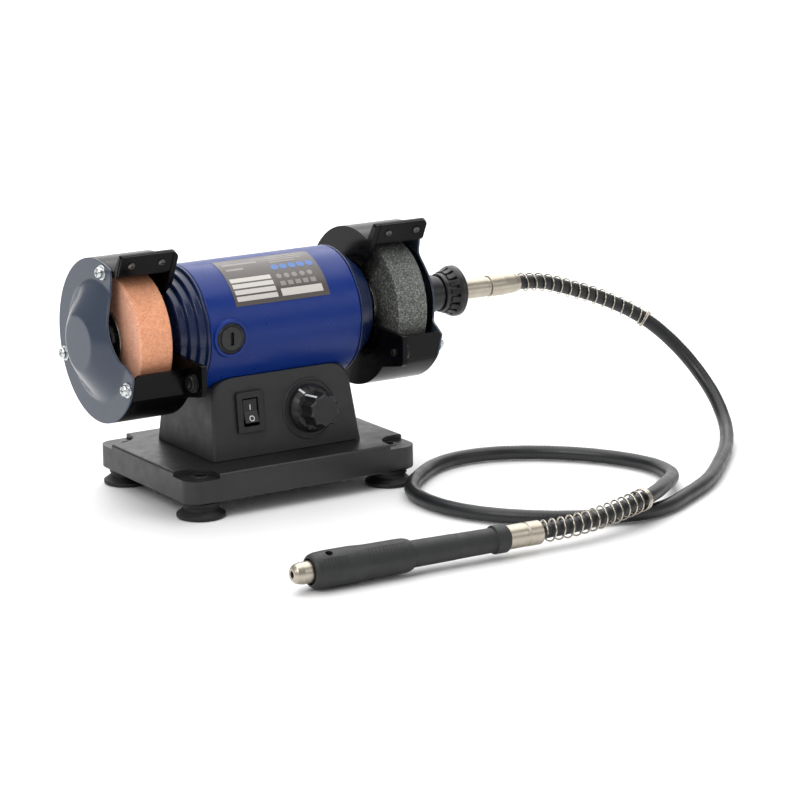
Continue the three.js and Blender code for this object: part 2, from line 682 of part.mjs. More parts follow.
function addCover(side, name, screwHoles) {
  const back = GUARD.bandEnd + GAP;
  const front = back + COVER.thickness;
  const steps = 5;
  const radii = Array.from({ length: steps + 1 }, (_, step) =>
    THREE.MathUtils.lerp(COVER.domeBase, COVER.domeTop, step / steps),
  );
  const outside = radii.map((radius) => [front + domeHeight(radius), radius]);
  const inside = radii.map((radius) => [back + domeHeight(radius), radius]).reverse();
  const hole = name === "right" ? COVER.outlet : 0;
  const sheet = turned([
    [back, GUARD.radius],
    [front, GUARD.radius],
    ...outside,
    [front + COVER.domeHeight, hole],
    [back + COVER.domeHeight, hole],
    ...inside,
    [back, GUARD.radius],
  ], ROUND);
  const opening = new THREE.Shape();
  opening.moveTo(-19.9, 48);
  opening.lineTo(-17.8, 33);
  opening.bezierCurveTo(-17.4, 21, -24, 9, -29, -5);
  opening.lineTo(-32, -9);
  opening.lineTo(-36.5, -11.2);
  opening.lineTo(...FRONT_FLAT.lean);
  opening.lineTo(...circlePoint(GUARD.radius, FRONT_FLAT.bottom, -1));
  opening.lineTo(-60, -30);
  opening.lineTo(-60, 48);
  const cover = cut(sheet, prismX(opening, back - 3, front + 20, 10), ...screwHoles);
  place(side, `guard_cover_${name}`, cover, "slate");

  const head = front + GAP;
  COVER_SCREW_ANGLES.forEach((degrees, index) => {
    const screw = turned([
      [95, 0], [95, 1.5], [head, 1.5], [head, 4.2], [head + 0.9, 4.2], [head + 1.1, 3.4],
      [head + 3, 3.2], [head + 3.6, 2.4], [head + 3.6, 0],
    ], 10);
    const [y, z] = pointAt(COVER.screwRadius, degrees);
    place(side, `cover_screw_${name}_${index + 1}`, screw, "zinc").position.set(0, y, z);
  });
}

// The plate screwed in front of the visor, ending level with the top of the drum.
function addDeflector(side, name) {
  const plate = shapeOf([onVisor(1.6, GAP), onVisor(14.2, GAP), onVisor(14.2, 1.5), onVisor(1.6, 1.5)]);
  const body = prismX(plate, GUARD.plateOuter + GAP, GUARD.bandEnd - GAP);
  const deflector = cut(body, ...visorHoles(SCREW_HOLE));
  place(side, `spark_deflector_${name}`, deflector, "black");
}

function addToolRestBolt(side, name) {
  const start = GUARD.plateInner - 2.2;
  const nutStart = GUARD.plateOuter + GAP;
  const nutEnd = nutStart + 3.8;
  const bolt = turned([
    [start, 0], [start, 1.8], [start + 0.5, 2.3], [nutEnd + 0.3, 2.3], [nutEnd + 0.7, 1.8], [nutEnd + 0.7, 0],
  ]);
  const nut = turned([
    [nutStart, 2.6], [nutStart, 5], [nutStart + 0.9, 5], [nutStart + 0.9, 3.4], [nutStart + 1.3, 3.4],
    [nutStart + 1.3, 5], [nutStart + 2.2, 5], [nutStart + 2.2, 4.2], [nutEnd, 4.2], [nutEnd, 2.6],
    [nutStart, 2.6],
  ], 14);
  place(side, `tool_rest_bolt_${name}`, bolt, "black").position.set(0, ...TAB.bolt);
  place(side, `tool_rest_nut_${name}`, nut, "black").position.set(0, ...TAB.bolt);
}

function addSide(name, sign) {
  const side = new THREE.Group();
  side.scale.x = sign;
  onAxis.add(side);
  addEndBell(side, name);
  addGuard(side, name);
}

// Output coupling and the flexible shaft.
function addCoupling() {
  const domeInside = GUARD.bandEnd + GAP + COVER.domeHeight;
  const { start, end, threadEnd, radius, bore } = COLLAR;
  const neck = COVER.outlet - GAP;
  const thread = 9;
  const collar = turned([
    [domeInside - 3, bore], [domeInside - 3, radius], [domeInside - GAP, radius],
    [domeInside - GAP, neck], [start, neck], [start, radius - 0.8], [start + 0.8, radius],
    [end, radius], [end, thread], [threadEnd, thread], [threadEnd, bore], [domeInside - 3, bore],
  ], 16);
  place(onAxis, "output_collar", collar, "black");

  const ribs = 12;
  const insideNut = thread + 0.4;
  const sleeve = 6.9; // round the ferrule
  const nutBody = turned([
    [NUT.start, insideNut], [NUT.start, NUT.radius - 0.4], [NUT.start + 0.6, NUT.radius],
    [NUT.flange - 1.6, NUT.radius + 0.6], [NUT.flange, NUT.flangeRadius - 1.2],
    [NUT.flange + 2.4, NUT.flangeRadius], [NUT.end - 1.2, NUT.flangeRadius],
    [NUT.end, NUT.flangeRadius - 1.4], [NUT.end, sleeve], [NUT.flange + 2, sleeve],
    [NUT.flange + 2, insideNut], [NUT.start, insideNut],
  ], 18);
  const ribOutline = shapeOf([
    [NUT.start + 3, 11], [NUT.flange + 1, 11], [NUT.flange + 1, NUT.flangeRadius - 0.7],
    [NUT.start + 4, NUT.radius + 1.5],
  ]);
  const rib = prismY(ribOutline, -0.8, 0.8);
  const ribRing = Array.from({ length: ribs }, (_, index) =>
    rib.clone().rotateX((index / ribs) * 2 * Math.PI),
  );
  place(onAxis, "coupling_nut", join(nutBody, ...ribRing), "black");

  const ferrule = turned([
    [0, SHEATH_BORE], [0, 6.1], [24, 6.1], [24.4, 5.5], [26, 5.5], [26.4, 6.4], [36, 6.4], [44, 5.9],
    [FERRULE.length, 5], [FERRULE.length, SHEATH_BORE], [0, SHEATH_BORE],
  ], 16);
  const mesh = place(onAxis, "drive_ferrule", ferrule, "nickel");
  mesh.position.x = FERRULE.start;
  mesh.rotation.y = FERRULE.tilt;
}

function addFlexTube() {
  const section = new THREE.Shape();
  section.absarc(0, 0, TUBE_RADIUS, 0, 2 * Math.PI);
  const tube = new THREE.ExtrudeGeometry(section, { steps: 62, curveSegments: 5, extrudePath: route });
  place(root, "flex_tube", tube, "rubber");
}

// A wire wound round the route from one length along it to another, with closed turns at its far end.
class CoilAlongRoute extends THREE.Curve {
  constructor(start, end, spring) {
    super();
    const closedLength = spring.closed * 2.2 * spring.wire;
    this.start = start;
    this.end = end;
    this.radius = spring.radius;
    this.openTurns = (spring.length - closedLength) / spring.pitch;
    this.turns = this.openTurns + spring.closed;
    this.openShare = 1 - closedLength / spring.length;
  }

  getPoint(t, target = new THREE.Vector3()) {
    const turn = t * this.turns;
    const open = Math.min(turn, this.openTurns) / this.openTurns;
    const closed = Math.max(turn - this.openTurns, 0) / (this.turns - this.openTurns);
    const share = this.openShare * open + (1 - this.openShare) * closed;
    const u = THREE.MathUtils.lerp(this.start, this.end, share) / route.getLength();
    const tangent = route.getTangentAt(u);
    const across = new THREE.Vector3(0, 0, 1).cross(tangent).normalize();
    const up = tangent.clone().cross(across);
    const angle = 2 * Math.PI * turn;
    return target
      .copy(route.getPointAt(u))
      .addScaledVector(across, this.radius * Math.cos(angle))
      .addScaledVector(up, this.radius * Math.sin(angle));
  }
}

function addSpring(name, start, end, spring) {
  const coil = new CoilAlongRoute(start, end, spring);
  const wire = new THREE.Shape();
  wire.absarc(0, 0, spring.wire, 0, 2 * Math.PI);
  const steps = Math.round(coil.turns * 8);
  const geometry = new THREE.ExtrudeGeometry(wire, { steps, curveSegments: 2, extrudePath: coil });
  place(root, name, geometry, "nickel");
}

function addSprings() {
  const length = route.getLength();
  const clear = 0.9;
  addSpring("drive_spring", clear, DRIVE_SPRING.length + clear, DRIVE_SPRING);
  addSpring("handpiece_spring", length - clear, length - clear - TOOL_SPRING.length, TOOL_SPRING);
}

function addHandpiece() {
  const tool = new THREE.Group();
  tool.position.set(...HANDPIECE.rear);
  tool.rotation.z = HANDPIECE.turn;
  root.add(tool);
  const { ferrule, collar, barrel, spindle: rear, grip, tip } = HANDPIECE_PARTS;
  place(tool, "handpiece_ferrule", turned([
    [0, SHEATH_BORE], [0, 6], [0.6, 6.5], [ferrule, 6.5], [ferrule, SHEATH_BORE], [0, SHEATH_BORE],
  ], 16), "nickel");
  place(tool, "handpiece_body", turned([
    [ferrule + GAP, TOOL_BORE], [ferrule + GAP, 7], [ferrule + 1.2, 7.7], [collar - 0.6, 7.7],
    [collar, 6.5], [collar + 0.8, 6.5], [collar + 1.6, 6.65], [barrel - GAP, 7.2],
    [barrel - GAP, TOOL_BORE], [ferrule + GAP, TOOL_BORE],
  ], 18), "charcoal");
  place(tool, "handpiece_grip", turned([
    [barrel, TOOL_BORE], [barrel, 8.3], [barrel + 3, 9.1], [barrel + 6, 9.25], [barrel + 26, 9.3],
    [barrel + 34, 9.8], [grip - 10, 9.8], [grip - 4.2, 9.5], [grip - 1.7, 9], [grip, 7.6],
    [grip, TOOL_BORE], [barrel, TOOL_BORE],
  ], 20), "charcoal");
  const flats = 6;
  const spindle = turned([
    [rear, 0], [rear, 2.9], [grip + 0.6, 2.9], [grip + 0.6, 5.9], [grip + 4.5, 5.9], [tip - 2, 4.9],
    [tip, 3.6], [tip, 1.6], [tip - 14, 1.6], [tip - 14, 0],
  ], flats * 2);
  place(tool, "collet_spindle", spindle, "nickel");
}

addBase();
addFeet();
addPedestal();
addMotorCase();
addRotor();
addSide("left", -1);
addSide("right", 1);
addCoupling();
addFlexTube();
addSprings();
addHandpiece();

export default root;
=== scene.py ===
"""Looks of the bench grinder with its flexible shaft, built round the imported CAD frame."""

from math import acos, atan2, ceil, copysign, cos, degrees, hypot, pi, radians, sin, sqrt, tan

import bmesh
import bpy
from mathutils import Matrix, Vector, noise


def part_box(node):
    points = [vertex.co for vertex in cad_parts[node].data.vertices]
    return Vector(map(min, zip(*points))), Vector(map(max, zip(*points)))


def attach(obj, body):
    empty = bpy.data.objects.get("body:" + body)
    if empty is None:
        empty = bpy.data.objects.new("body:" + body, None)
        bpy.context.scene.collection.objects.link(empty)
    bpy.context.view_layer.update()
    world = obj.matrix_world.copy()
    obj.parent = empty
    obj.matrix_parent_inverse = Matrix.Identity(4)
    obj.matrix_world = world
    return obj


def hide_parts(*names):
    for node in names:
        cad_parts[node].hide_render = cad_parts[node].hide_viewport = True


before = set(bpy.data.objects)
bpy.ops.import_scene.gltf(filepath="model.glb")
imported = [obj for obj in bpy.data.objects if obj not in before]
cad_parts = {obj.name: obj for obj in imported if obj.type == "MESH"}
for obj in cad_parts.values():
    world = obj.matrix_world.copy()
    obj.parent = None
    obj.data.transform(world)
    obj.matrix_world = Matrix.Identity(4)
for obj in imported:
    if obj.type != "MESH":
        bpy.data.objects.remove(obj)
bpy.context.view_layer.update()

# Shapes are written in millimetres from the machine's middle: X along the motor shaft, front towards -Y, Z
# up from the bench. The barrel gives where that middle is in the frame, which is in metres.
MM = 0.001
BARREL_LOW, BARREL_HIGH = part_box("motor_barrel")
MIDDLE_X = (BARREL_LOW.x + BARREL_HIGH.x) / 2
AXIS_Z = (BARREL_LOW.z + BARREL_HIGH.z) / 2 / MM
MACHINE = Matrix.Translation((MIDDLE_X, 0, 0)) @ Matrix.Scale(MM, 4)
ON_AXIS = Matrix.Translation((0, 0, AXIS_Z))
MIRROR = Matrix.Scale(-1, 4, (1, 0, 0))
FACING_FRONT = Matrix.Rotation(-pi / 2, 4, "Z")
SIDES = (("left", -1), ("right", 1))
FINE = 96  # facets of a large circle
SMALL = 48  # facets of a small circle


# Camera, at the photograph's viewing angle, and the cord's route.
def add_camera():
    heading, drop, roll = 0.5666, 0.2407, 0.0095
    place = Vector((-0.8690, -1.5027, 0.4719))
    level = Vector((sin(heading), cos(heading), 0))
    forward = level * cos(drop) - Vector((0, 0, sin(drop)))
    right = Vector((cos(heading), -sin(heading), 0))
    down = forward.cross(right)
    right_rolled = cos(roll) * right + sin(roll) * down
    down_rolled = cos(roll) * down - sin(roll) * right
    data = bpy.data.cameras.new("camera")
    data.sensor_width = 36
    data.lens = 140.1
    data.clip_start = 0.05
    data.clip_end = 50
    camera = bpy.data.objects.new("camera", data)
    turn = Matrix((right_rolled, -down_rolled, -forward)).transposed()
    camera.matrix_world = Matrix.Translation(place) @ turn.to_4x4()
    bpy.context.scene.collection.objects.link(camera)
    bpy.context.scene.camera = camera


ROUTE = [
    (181.7, 0, 95.5), (200, 0, 93.4), (215, -1.5, 88.9), (237.5, -5, 80.8), (256.5, -13.5, 71),
    (267.5, -22, 62), (277.5, -32.5, 49.5), (283.5, -44.5, 36.5), (285, -59, 23.5), (280, -76, 11.5),
    (266, -96, 5.2), (234, -129.5, 4.25), (205, -155.5, 4.25), (177.3, -173, 4.25), (151, -186.5, 4.25),
    (130, -189, 4.25), (98, -176.5, 4.25), (77, -161, 4.25), (61.8, -143.2, 4.25), (52.5, -123.1, 4.25),
    (49.8, -100.5, 4.25), (53.8, -80.5, 4.25), (64, -65.5, 4.25), (78.8, -52, 4.25), (94, -41.3, 4.25),
    (113, -35, 4.25), (136, -37, 4.25), (160, -49.5, 4.25), (181, -70, 4.25), (194, -92, 4.25),
    (199, -113, 4.5), (194.5, -133.5, 5.6), (184.5, -149, 7.9), (172.5, -162, 10.4), (160, -174, 12.6),
    (147.5, -184.5, 13.6), (133, -193.5, 14), (115, -199.6, 13.2), (95, -203, 11.3), (75, -204.6, 10.2),
    (54.8, -204.03, 9.9),
]


def smooth_route(points, step=0.8):
    """The centripetal Catmull-Rom curve that the CAD tube follows, sampled every step mm, and its length."""
    p = [Vector(q) for q in points]
    p = [2 * p[0] - p[1], *p, 2 * p[-1] - p[-2]]
    dense = []
    for a, b, c, d in zip(p, p[1:], p[2:], p[3:]):
        ta = 0.0
        tb = ta + (b - a).length ** 0.5
        tc = tb + (c - b).length ** 0.5
        td = tc + (d - c).length ** 0.5
        for k in range(40):
            t = tb + (tc - tb) * k / 40
            ab = a.lerp(b, (t - ta) / (tb - ta))
            bc = b.lerp(c, (t - tb) / (tc - tb))
            cd = c.lerp(d, (t - tc) / (td - tc))
            abc = ab.lerp(bc, (t - ta) / (tc - ta))
            bcd = bc.lerp(cd, (t - tb) / (td - tb))
            dense.append(abc.lerp(bcd, (t - tb) / (tc - tb)))
    dense.append(p[-2])
    lengths = [0.0]
    for a, b in zip(dense, dense[1:]):
        lengths.append(lengths[-1] + (b - a).length)
    count = round(lengths[-1] / step)
    even, k = [], 0
    for i in range(count + 1):
        want = lengths[-1] * i / count
        while k < len(lengths) - 2 and lengths[k + 1] < want:
            k += 1
        even.append(dense[k].lerp(dense[k + 1], (want - lengths[k]) / (lengths[k + 1] - lengths[k])))
    return even, lengths[-1]


# Mesh building. A shell is (points, faces), in millimetres.
def rounded(corners, closed=False):
    """Corners are (a, b) or (a, b, radius); a radius turns the corner into an arc."""
    out, count = [], len(corners)
    for i, corner in enumerate(corners):
        here = Vector(corner[:2])
        radius = corner[2] if len(corner) > 2 else 0
        if radius == 0 or (not closed and i in (0, count - 1)):
            out.append((here.x, here.y))
            continue
        before = Vector(corners[i - 1][:2]) - here
        after = Vector(corners[(i + 1) % count][:2]) - here
        u, v = before.normalized(), after.normalized()
        angle = acos(max(min(u.dot(v), 1), -1))
        if angle > pi - 0.02:
            out.append((here.x, here.y))
            continue
        reach = min(radius / tan(angle / 2), 0.49 * before.length, 0.49 * after.length)
        radius = reach * tan(angle / 2)
        centre = here + (u + v).normalized() * radius / sin(angle / 2)
        start, end = here + u * reach - centre, here + v * reach - centre
        sweep = pi - angle
        steps = max(2, ceil(sweep / radians(20)))
        turn = copysign(sweep, start.x * end.y - start.y * end.x)
        for k in range(steps + 1):
            c, t = cos(turn * k / steps), sin(turn * k / steps)
            out.append((centre.x + start.x * c - start.y * t, centre.y + start.x * t + start.y * c))
    return out


def lathe(profile, segments=FINE, closed=False, radius_at=None):
    """Turns a profile of (x, radius[, fillet]) about the X axis. closed joins its last point to its first."""
    points, faces, rows = [], [], []
    for x, r in rounded(profile, closed):
        if r < 1e-6:
            rows.append([len(points)])
            points.append((x, 0, 0))
            continue
        rows.append(list(range(len(points), len(points) + segments)))
        for k in range(segments):
            a = 2 * pi * k / segments
            q = radius_at(x, r, a) if radius_at else r
            points.append((x, q * cos(a), q * sin(a)))
    for a, b in zip(rows, rows[1:] + rows[:1] if closed else rows[1:]):
        for k in range(segments):
            j = (k + 1) % segments
            if len(a) == 1 and len(b) > 1:
                faces.append((a[0], b[k], b[j]))
            elif len(b) == 1 and len(a) > 1:
                faces.append((a[k], b[0], a[j]))
            elif len(a) > 1:
                faces.append((a[k], b[k], b[j], a[j]))
    return points, faces


def tube(path, radius, sides=20, radius_at=None):
    """A closed round tube along a list of points."""
    rings = []
    side = Vector((0, 0, 1))
    count = len(path)
    for i, here in enumerate(path):
        along = (path[min(i + 1, count - 1)] - path[max(i - 1, 0)]).normalized()
        side = (side - along * side.dot(along)).normalized()
        up = along.cross(side)
        r = radius_at(i) if radius_at else radius
        turns = [2 * pi * k / sides for k in range(sides)]
        rings.append([here + r * (cos(a) * side + sin(a) * up) for a in turns])
    return loft(rings)


def loft(rings):
    """A closed solid through rings of points, all of one length."""
    points = [q for ring in rings for q in ring]
    n, faces = len(rings[0]), []
    for i in range(len(rings) - 1):
        for k in range(n):
            j = (k + 1) % n
            faces.append((i * n + k, i * n + j, (i + 1) * n + j, (i + 1) * n + k))
    faces.append(tuple(range(n)))
    faces.append(tuple(range((len(rings) - 1) * n, len(rings) * n)))
    return points, faces


def block(low, high):
    x0, y0, z0 = low
    x1, y1, z1 = high
    ring = [(x0, y0), (x1, y0), (x1, y1), (x0, y1)]
    return loft([[(x, y, z0) for x, y in ring], [(x, y, z1) for x, y in ring]])


def moved(shell, matrix):
    points, faces = shell
    return [matrix @ Vector(p) for p in points], faces


def mesh_of(*shells):
    """One mesh from shells, with its faces turned outwards."""
    bm = bmesh.new()
    for points, faces in shells:
        made = [bm.verts.new(p) for p in points]
        for f in faces:
            bm.faces.new([made[k] for k in f])
    bmesh.ops.remove_doubles(bm, verts=bm.verts, dist=1e-4)
    bmesh.ops.recalc_face_normals(bm, faces=bm.faces)
    mesh = bpy.data.meshes.new("work")
    bm.to_mesh(mesh)
    bm.free()
    return mesh


def prism(outlines, x0, x1, edge=0.4):
    """Outlines in (y, z), the first one the outside and the others holes, along X with rounded edges."""
    data = bpy.data.curves.new("outline", "CURVE")
    data.dimensions = "2D"
    data.fill_mode = "BOTH"
    data.bevel_mode = "ROUND"
    data.extrude = (x1 - x0) / 2 - edge
    data.bevel_depth = edge
    data.bevel_resolution = 2 if edge else 0
    data.offset = -edge
    for outline in outlines:
        line = data.splines.new("POLY")
        line.points.add(len(outline) - 1)
        line.use_cyclic_u = True
        for point, (a, b) in zip(line.points, outline):
            point.co = (a, b, 0, 1)
    work = bpy.data.objects.new("outline", data)
    bpy.context.scene.collection.objects.link(work)
    bpy.context.view_layer.update()
    mesh = bpy.data.meshes.new_from_object(work.evaluated_get(bpy.context.evaluated_depsgraph_get()))
    bpy.data.objects.remove(work)
    bpy.data.curves.remove(data)
    mesh.transform(Matrix(((0, 0, 1, (x0 + x1) / 2), (1, 0, 0, 0), (0, 1, 0, 0), (0, 0, 0, 1))))
    bm = bmesh.new()
    bm.from_mesh(mesh)
    bmesh.ops.remove_doubles(bm, verts=bm.verts, dist=1e-3)
    bmesh.ops.recalc_face_normals(bm, faces=bm.faces)
    bm.to_mesh(mesh)
    bm.free()
    return mesh


def with_modifiers(mesh, add):
    """The mesh after the modifiers that add(object) puts on it."""
    work = bpy.data.objects.new("work", mesh)
    bpy.context.scene.collection.objects.link(work)
    add(work)
    bpy.context.view_layer.update()
    out = bpy.data.meshes.new_from_object(work.evaluated_get(bpy.context.evaluated_depsgraph_get()))
    bpy.data.objects.remove(work)
    return out


def combined(mesh, others, operation="DIFFERENCE"):
    """The mesh cut by the others, or joined with them."""
    for other in others:
        tool = bpy.data.objects.new("tool", other)
        bpy.context.scene.collection.objects.link(tool)

        def add(work):
            modifier = work.modifiers.new("boolean", "BOOLEAN")
            modifier.operation = operation
            modifier.solver = "EXACT"
            modifier.object = tool

        mesh = with_modifiers(mesh, add)
        bpy.data.objects.remove(tool)
    bm = bmesh.new()
    bm.from_mesh(mesh)
    bmesh.ops.remove_doubles(bm, verts=bm.verts, dist=2e-3)
    bmesh.ops.dissolve_degenerate(bm, edges=bm.edges, dist=2e-3)
    bm.to_mesh(mesh)
    bm.free()
    return mesh


def softened(mesh, width=0.4, angle=35, segments=3):
    """The mesh with every edge sharper than the angle rounded."""

    def add(work):
        modifier = work.modifiers.new("bevel", "BEVEL")
        modifier.width = width
        modifier.segments = segments
        modifier.limit_method = "ANGLE"
        modifier.angle_limit = radians(angle)
        modifier.use_clamp_overlap = True
        modifier.miter_outer = "MITER_ARC"

    return with_modifiers(mesh, add)


def piece(name, mesh, look, replaces=(), place=Matrix.Identity(4), sharp=40, body="machine"):
    """Places a mesh or shells as a piece that rides on a body and stands for CAD nodes."""
    if isinstance(mesh, tuple):
        mesh = [mesh]
    mesh = mesh_of(*mesh) if isinstance(mesh, list) else mesh.copy()
    whole = MACHINE @ place
    mesh.transform(whole)
    if whole.determinant() < 0:
        mesh.flip_normals()
    mesh.name = name
    mesh.materials.clear()
    mesh.materials.append(LOOK[look])
    mesh.shade_smooth()
    mesh.set_sharp_from_angle(angle=radians(sharp))
    made = bpy.data.objects.new(name, mesh)
    bpy.context.scene.collection.objects.link(made)
    weighted = made.modifiers.new("weighted", "WEIGHTED_NORMAL")
    weighted.keep_sharp = True
    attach(made, body)
    if replaces:
        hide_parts(*([replaces] if isinstance(replaces, str) else replaces))
    return made


# Materials. Every one has its own small-scale colour, gloss and relief.
def linear(*rgb):
    """Display colours from 0 to 255 as linear ones."""
    return [(c / 255 / 12.92) if c <= 10 else ((c / 255 + 0.055) / 1.055) ** 2.4 for c in rgb]


class Nodes:
    """A short way to write a material's node tree."""

    def __init__(self, name):
        self.material = bpy.data.materials.new(name)
        self.material.use_nodes = True
        self.tree = self.material.node_tree
        self.shader = self.tree.nodes["Principled BSDF"]
        self.object = self.add("ShaderNodeTexCoord").outputs["Object"]

    def add(self, kind, values=(), links=(), **settings):
        node = self.tree.nodes.new(kind)
        for key, value in settings.items():
            setattr(node, key, value)
        for key, value in dict(values).items():
            node.inputs[key].default_value = value
        for key, socket in dict(links).items():
            self.tree.links.new(socket, node.inputs[key])
        return node

    def stretched(self, x, y, z):
        return self.add("ShaderNodeMapping", {"Scale": (x, y, z)}, {"Vector": self.object}).outputs["Vector"]

    def noise(self, size, detail=3, vector=None, roughness=0.55):
        """Noise whose features are about size mm across."""
        return self.add(
            "ShaderNodeTexNoise",
            {"Scale": 1 / (size * MM), "Detail": detail, "Roughness": roughness},
            {"Vector": vector or self.object},
        ).outputs["Fac"]

    def cells(self, size, **settings):
        """Cells about size mm across."""
        return self.add("ShaderNodeTexVoronoi", {"Scale": 1 / (size * MM)}, {"Vector": self.object},
                        **settings)

    def span(self, value, low, high, start=0.3, end=0.7):
        """Maps a value from start..end to low..high."""
        return self.add(
            "ShaderNodeMapRange",
            {"From Min": start, "From Max": end, "To Min": low, "To Max": high},
            {"Value": value},
        ).outputs["Result"]

    def mix(self, share, first, second, blend="MIX"):
        node = self.add("ShaderNodeMix", data_type="RGBA", blend_type=blend)
        for index, value in ((0, share), (6, first), (7, second)):
            if isinstance(value, bpy.types.NodeSocket):
                self.tree.links.new(value, node.inputs[index])
            else:
                node.inputs[index].default_value = value if index == 0 else (*value, 1)
        return node.outputs[2]

    def bump(self, height, distance, strength=1.0, below=None):
        """Relief of distance mm."""
        links = {"Height": height}
        if below:
            links["Normal"] = below
        node = self.add("ShaderNodeBump", {"Strength": strength, "Distance": distance * MM}, links)
        return node.outputs["Normal"]

    def use(self, **sockets):
        for key, value in sockets.items():
            target = self.shader.inputs[key.replace("_", " ")]
            if isinstance(value, bpy.types.NodeSocket):
                self.tree.links.new(value, target)
            else:
                target.default_value = value
        return self.material


def coated(name, rgb, roughness, grain=1.2, relief=0.01, vary=0.12, spread=0.06, **more):
    """Paint, plastic or rubber: a colour with faint clouding, uneven gloss and a fine skin."""
    n = Nodes(name)
    base = linear(*rgb)
    cloud = n.span(n.noise(22), 0, 1)
    fine = n.span(n.noise(grain, 4), 0, 1)
    dark = [c * (1 - vary) for c in base]
    light = [min(c * (1 + vary), 1) for c in base]
    colour = n.mix(fine, n.mix(cloud, dark, base), light)
    gloss = n.span(n.noise(9, 5), roughness - spread, roughness + spread)
    normal = n.bump(n.noise(grain, 5, roughness=0.65), relief)
    n.use(Coat_Roughness=0.12, **more)
    return n.use(Base_Color=colour, Roughness=gloss, Normal=normal)


def turned_metal(name, rgb, roughness, line=0.16, relief=0.004, vary=0.1):
    """Metal with fine turning lines about the X axis and faint stains."""
    n = Nodes(name)
    base = linear(*rgb)
    lines = n.noise(line, 2, n.stretched(1, 0.04, 0.04))
    stain = n.span(n.noise(6, 5), 0, 1)
    colour = n.mix(stain, [c * (1 - vary) for c in base], [min(c * (1 + vary * 0.4), 1) for c in base])
    gloss = n.span(lines, roughness - 0.07, roughness + 0.09)
    return n.use(Metallic=1.0, Base_Color=colour, Roughness=gloss, Normal=n.bump(lines, relief))


def plated_metal(name, rgb, roughness, vary=0.1):
    """Bright plating with an even fine grain."""
    n = Nodes(name)
    base = linear(*rgb)
    stain = n.span(n.noise(2.2, 5), 0, 1)
    colour = n.mix(stain, [c * (1 - vary) for c in base], base)
    gloss = n.span(n.noise(0.8, 4), roughness - 0.06, roughness + 0.08)
    return n.use(Metallic=1.0, Base_Color=colour, Roughness=gloss, Normal=n.bump(n.noise(0.35, 3), 0.006))


def abrasive(name, base, light, dark, face, grit, contrast, relief):
    """Bonded grains: light and dark specks in a matrix, with a side face of its own colour, which on the grey
    wheel is darker, partly its duller tone and partly painted shade.
    """
    n = Nodes(name)
    base, light, dark, face = (linear(*c) for c in (base, light, dark, face))
    grains = n.cells(grit)
    pick = n.add("ShaderNodeSeparateColor", links={"Color": grains.outputs["Color"]}).outputs["Red"]
    normal = n.add("ShaderNodeTexCoord").outputs["Normal"]
    across = n.add("ShaderNodeSeparateXYZ", links={"Vector": normal}).outputs["X"]
    facing = n.add("ShaderNodeMath", links={0: across}, operation="ABSOLUTE").outputs[0]
    # The side face takes the face colour where the surface faces along X; on the grey wheel that darkening is
    # partly real and partly painted shade.
    side = n.span(facing, 0, 0.85, 0.5, 0.9)
    clouds = n.span(n.noise(5, 4), 0, 0.35)
    body = n.mix(clouds, n.mix(side, base, face), dark)
    lit = n.mix(n.span(pick, 0, contrast, 0.62, 0.98), body, light)
    colour = n.mix(n.span(pick, contrast, 0, 0.02, 0.38), lit, dark)
    pits = n.bump(n.noise(grit * 0.7, 4, roughness=0.7), relief)
    normal = n.bump(grains.outputs["Distance"], relief * 0.8, below=pits)
    return n.use(Base_Color=colour, Roughness=n.span(pick, 0.75, 0.98, 0, 1), Normal=normal)


def moulded(name, rgb, roughness, pebble=0.5, relief=0.03):
    """Moulded plastic with a fine pebbled skin, a little lighter where it has been rubbed."""
    n = Nodes(name)
    base = linear(*rgb)
    pebbles = n.cells(pebble, feature="SMOOTH_F1")
    cloud = n.span(n.noise(30, 4), 0, 1)
    speck = n.span(n.noise(0.9, 3), 0, 0.5, 0.5, 0.8)
    clouded = n.mix(cloud, [c * 0.9 for c in base], [c * 1.08 for c in base])
    colour = n.mix(speck, clouded, [c * 1.25 for c in base])
    skin = n.bump(n.noise(pebble * 0.8, 4), relief * 0.5)
    normal = n.bump(pebbles.outputs["Distance"], relief, below=skin)
    gloss = n.span(n.noise(7, 5), roughness - 0.07, roughness + 0.07)
    return n.use(Base_Color=colour, Roughness=gloss, Normal=normal)


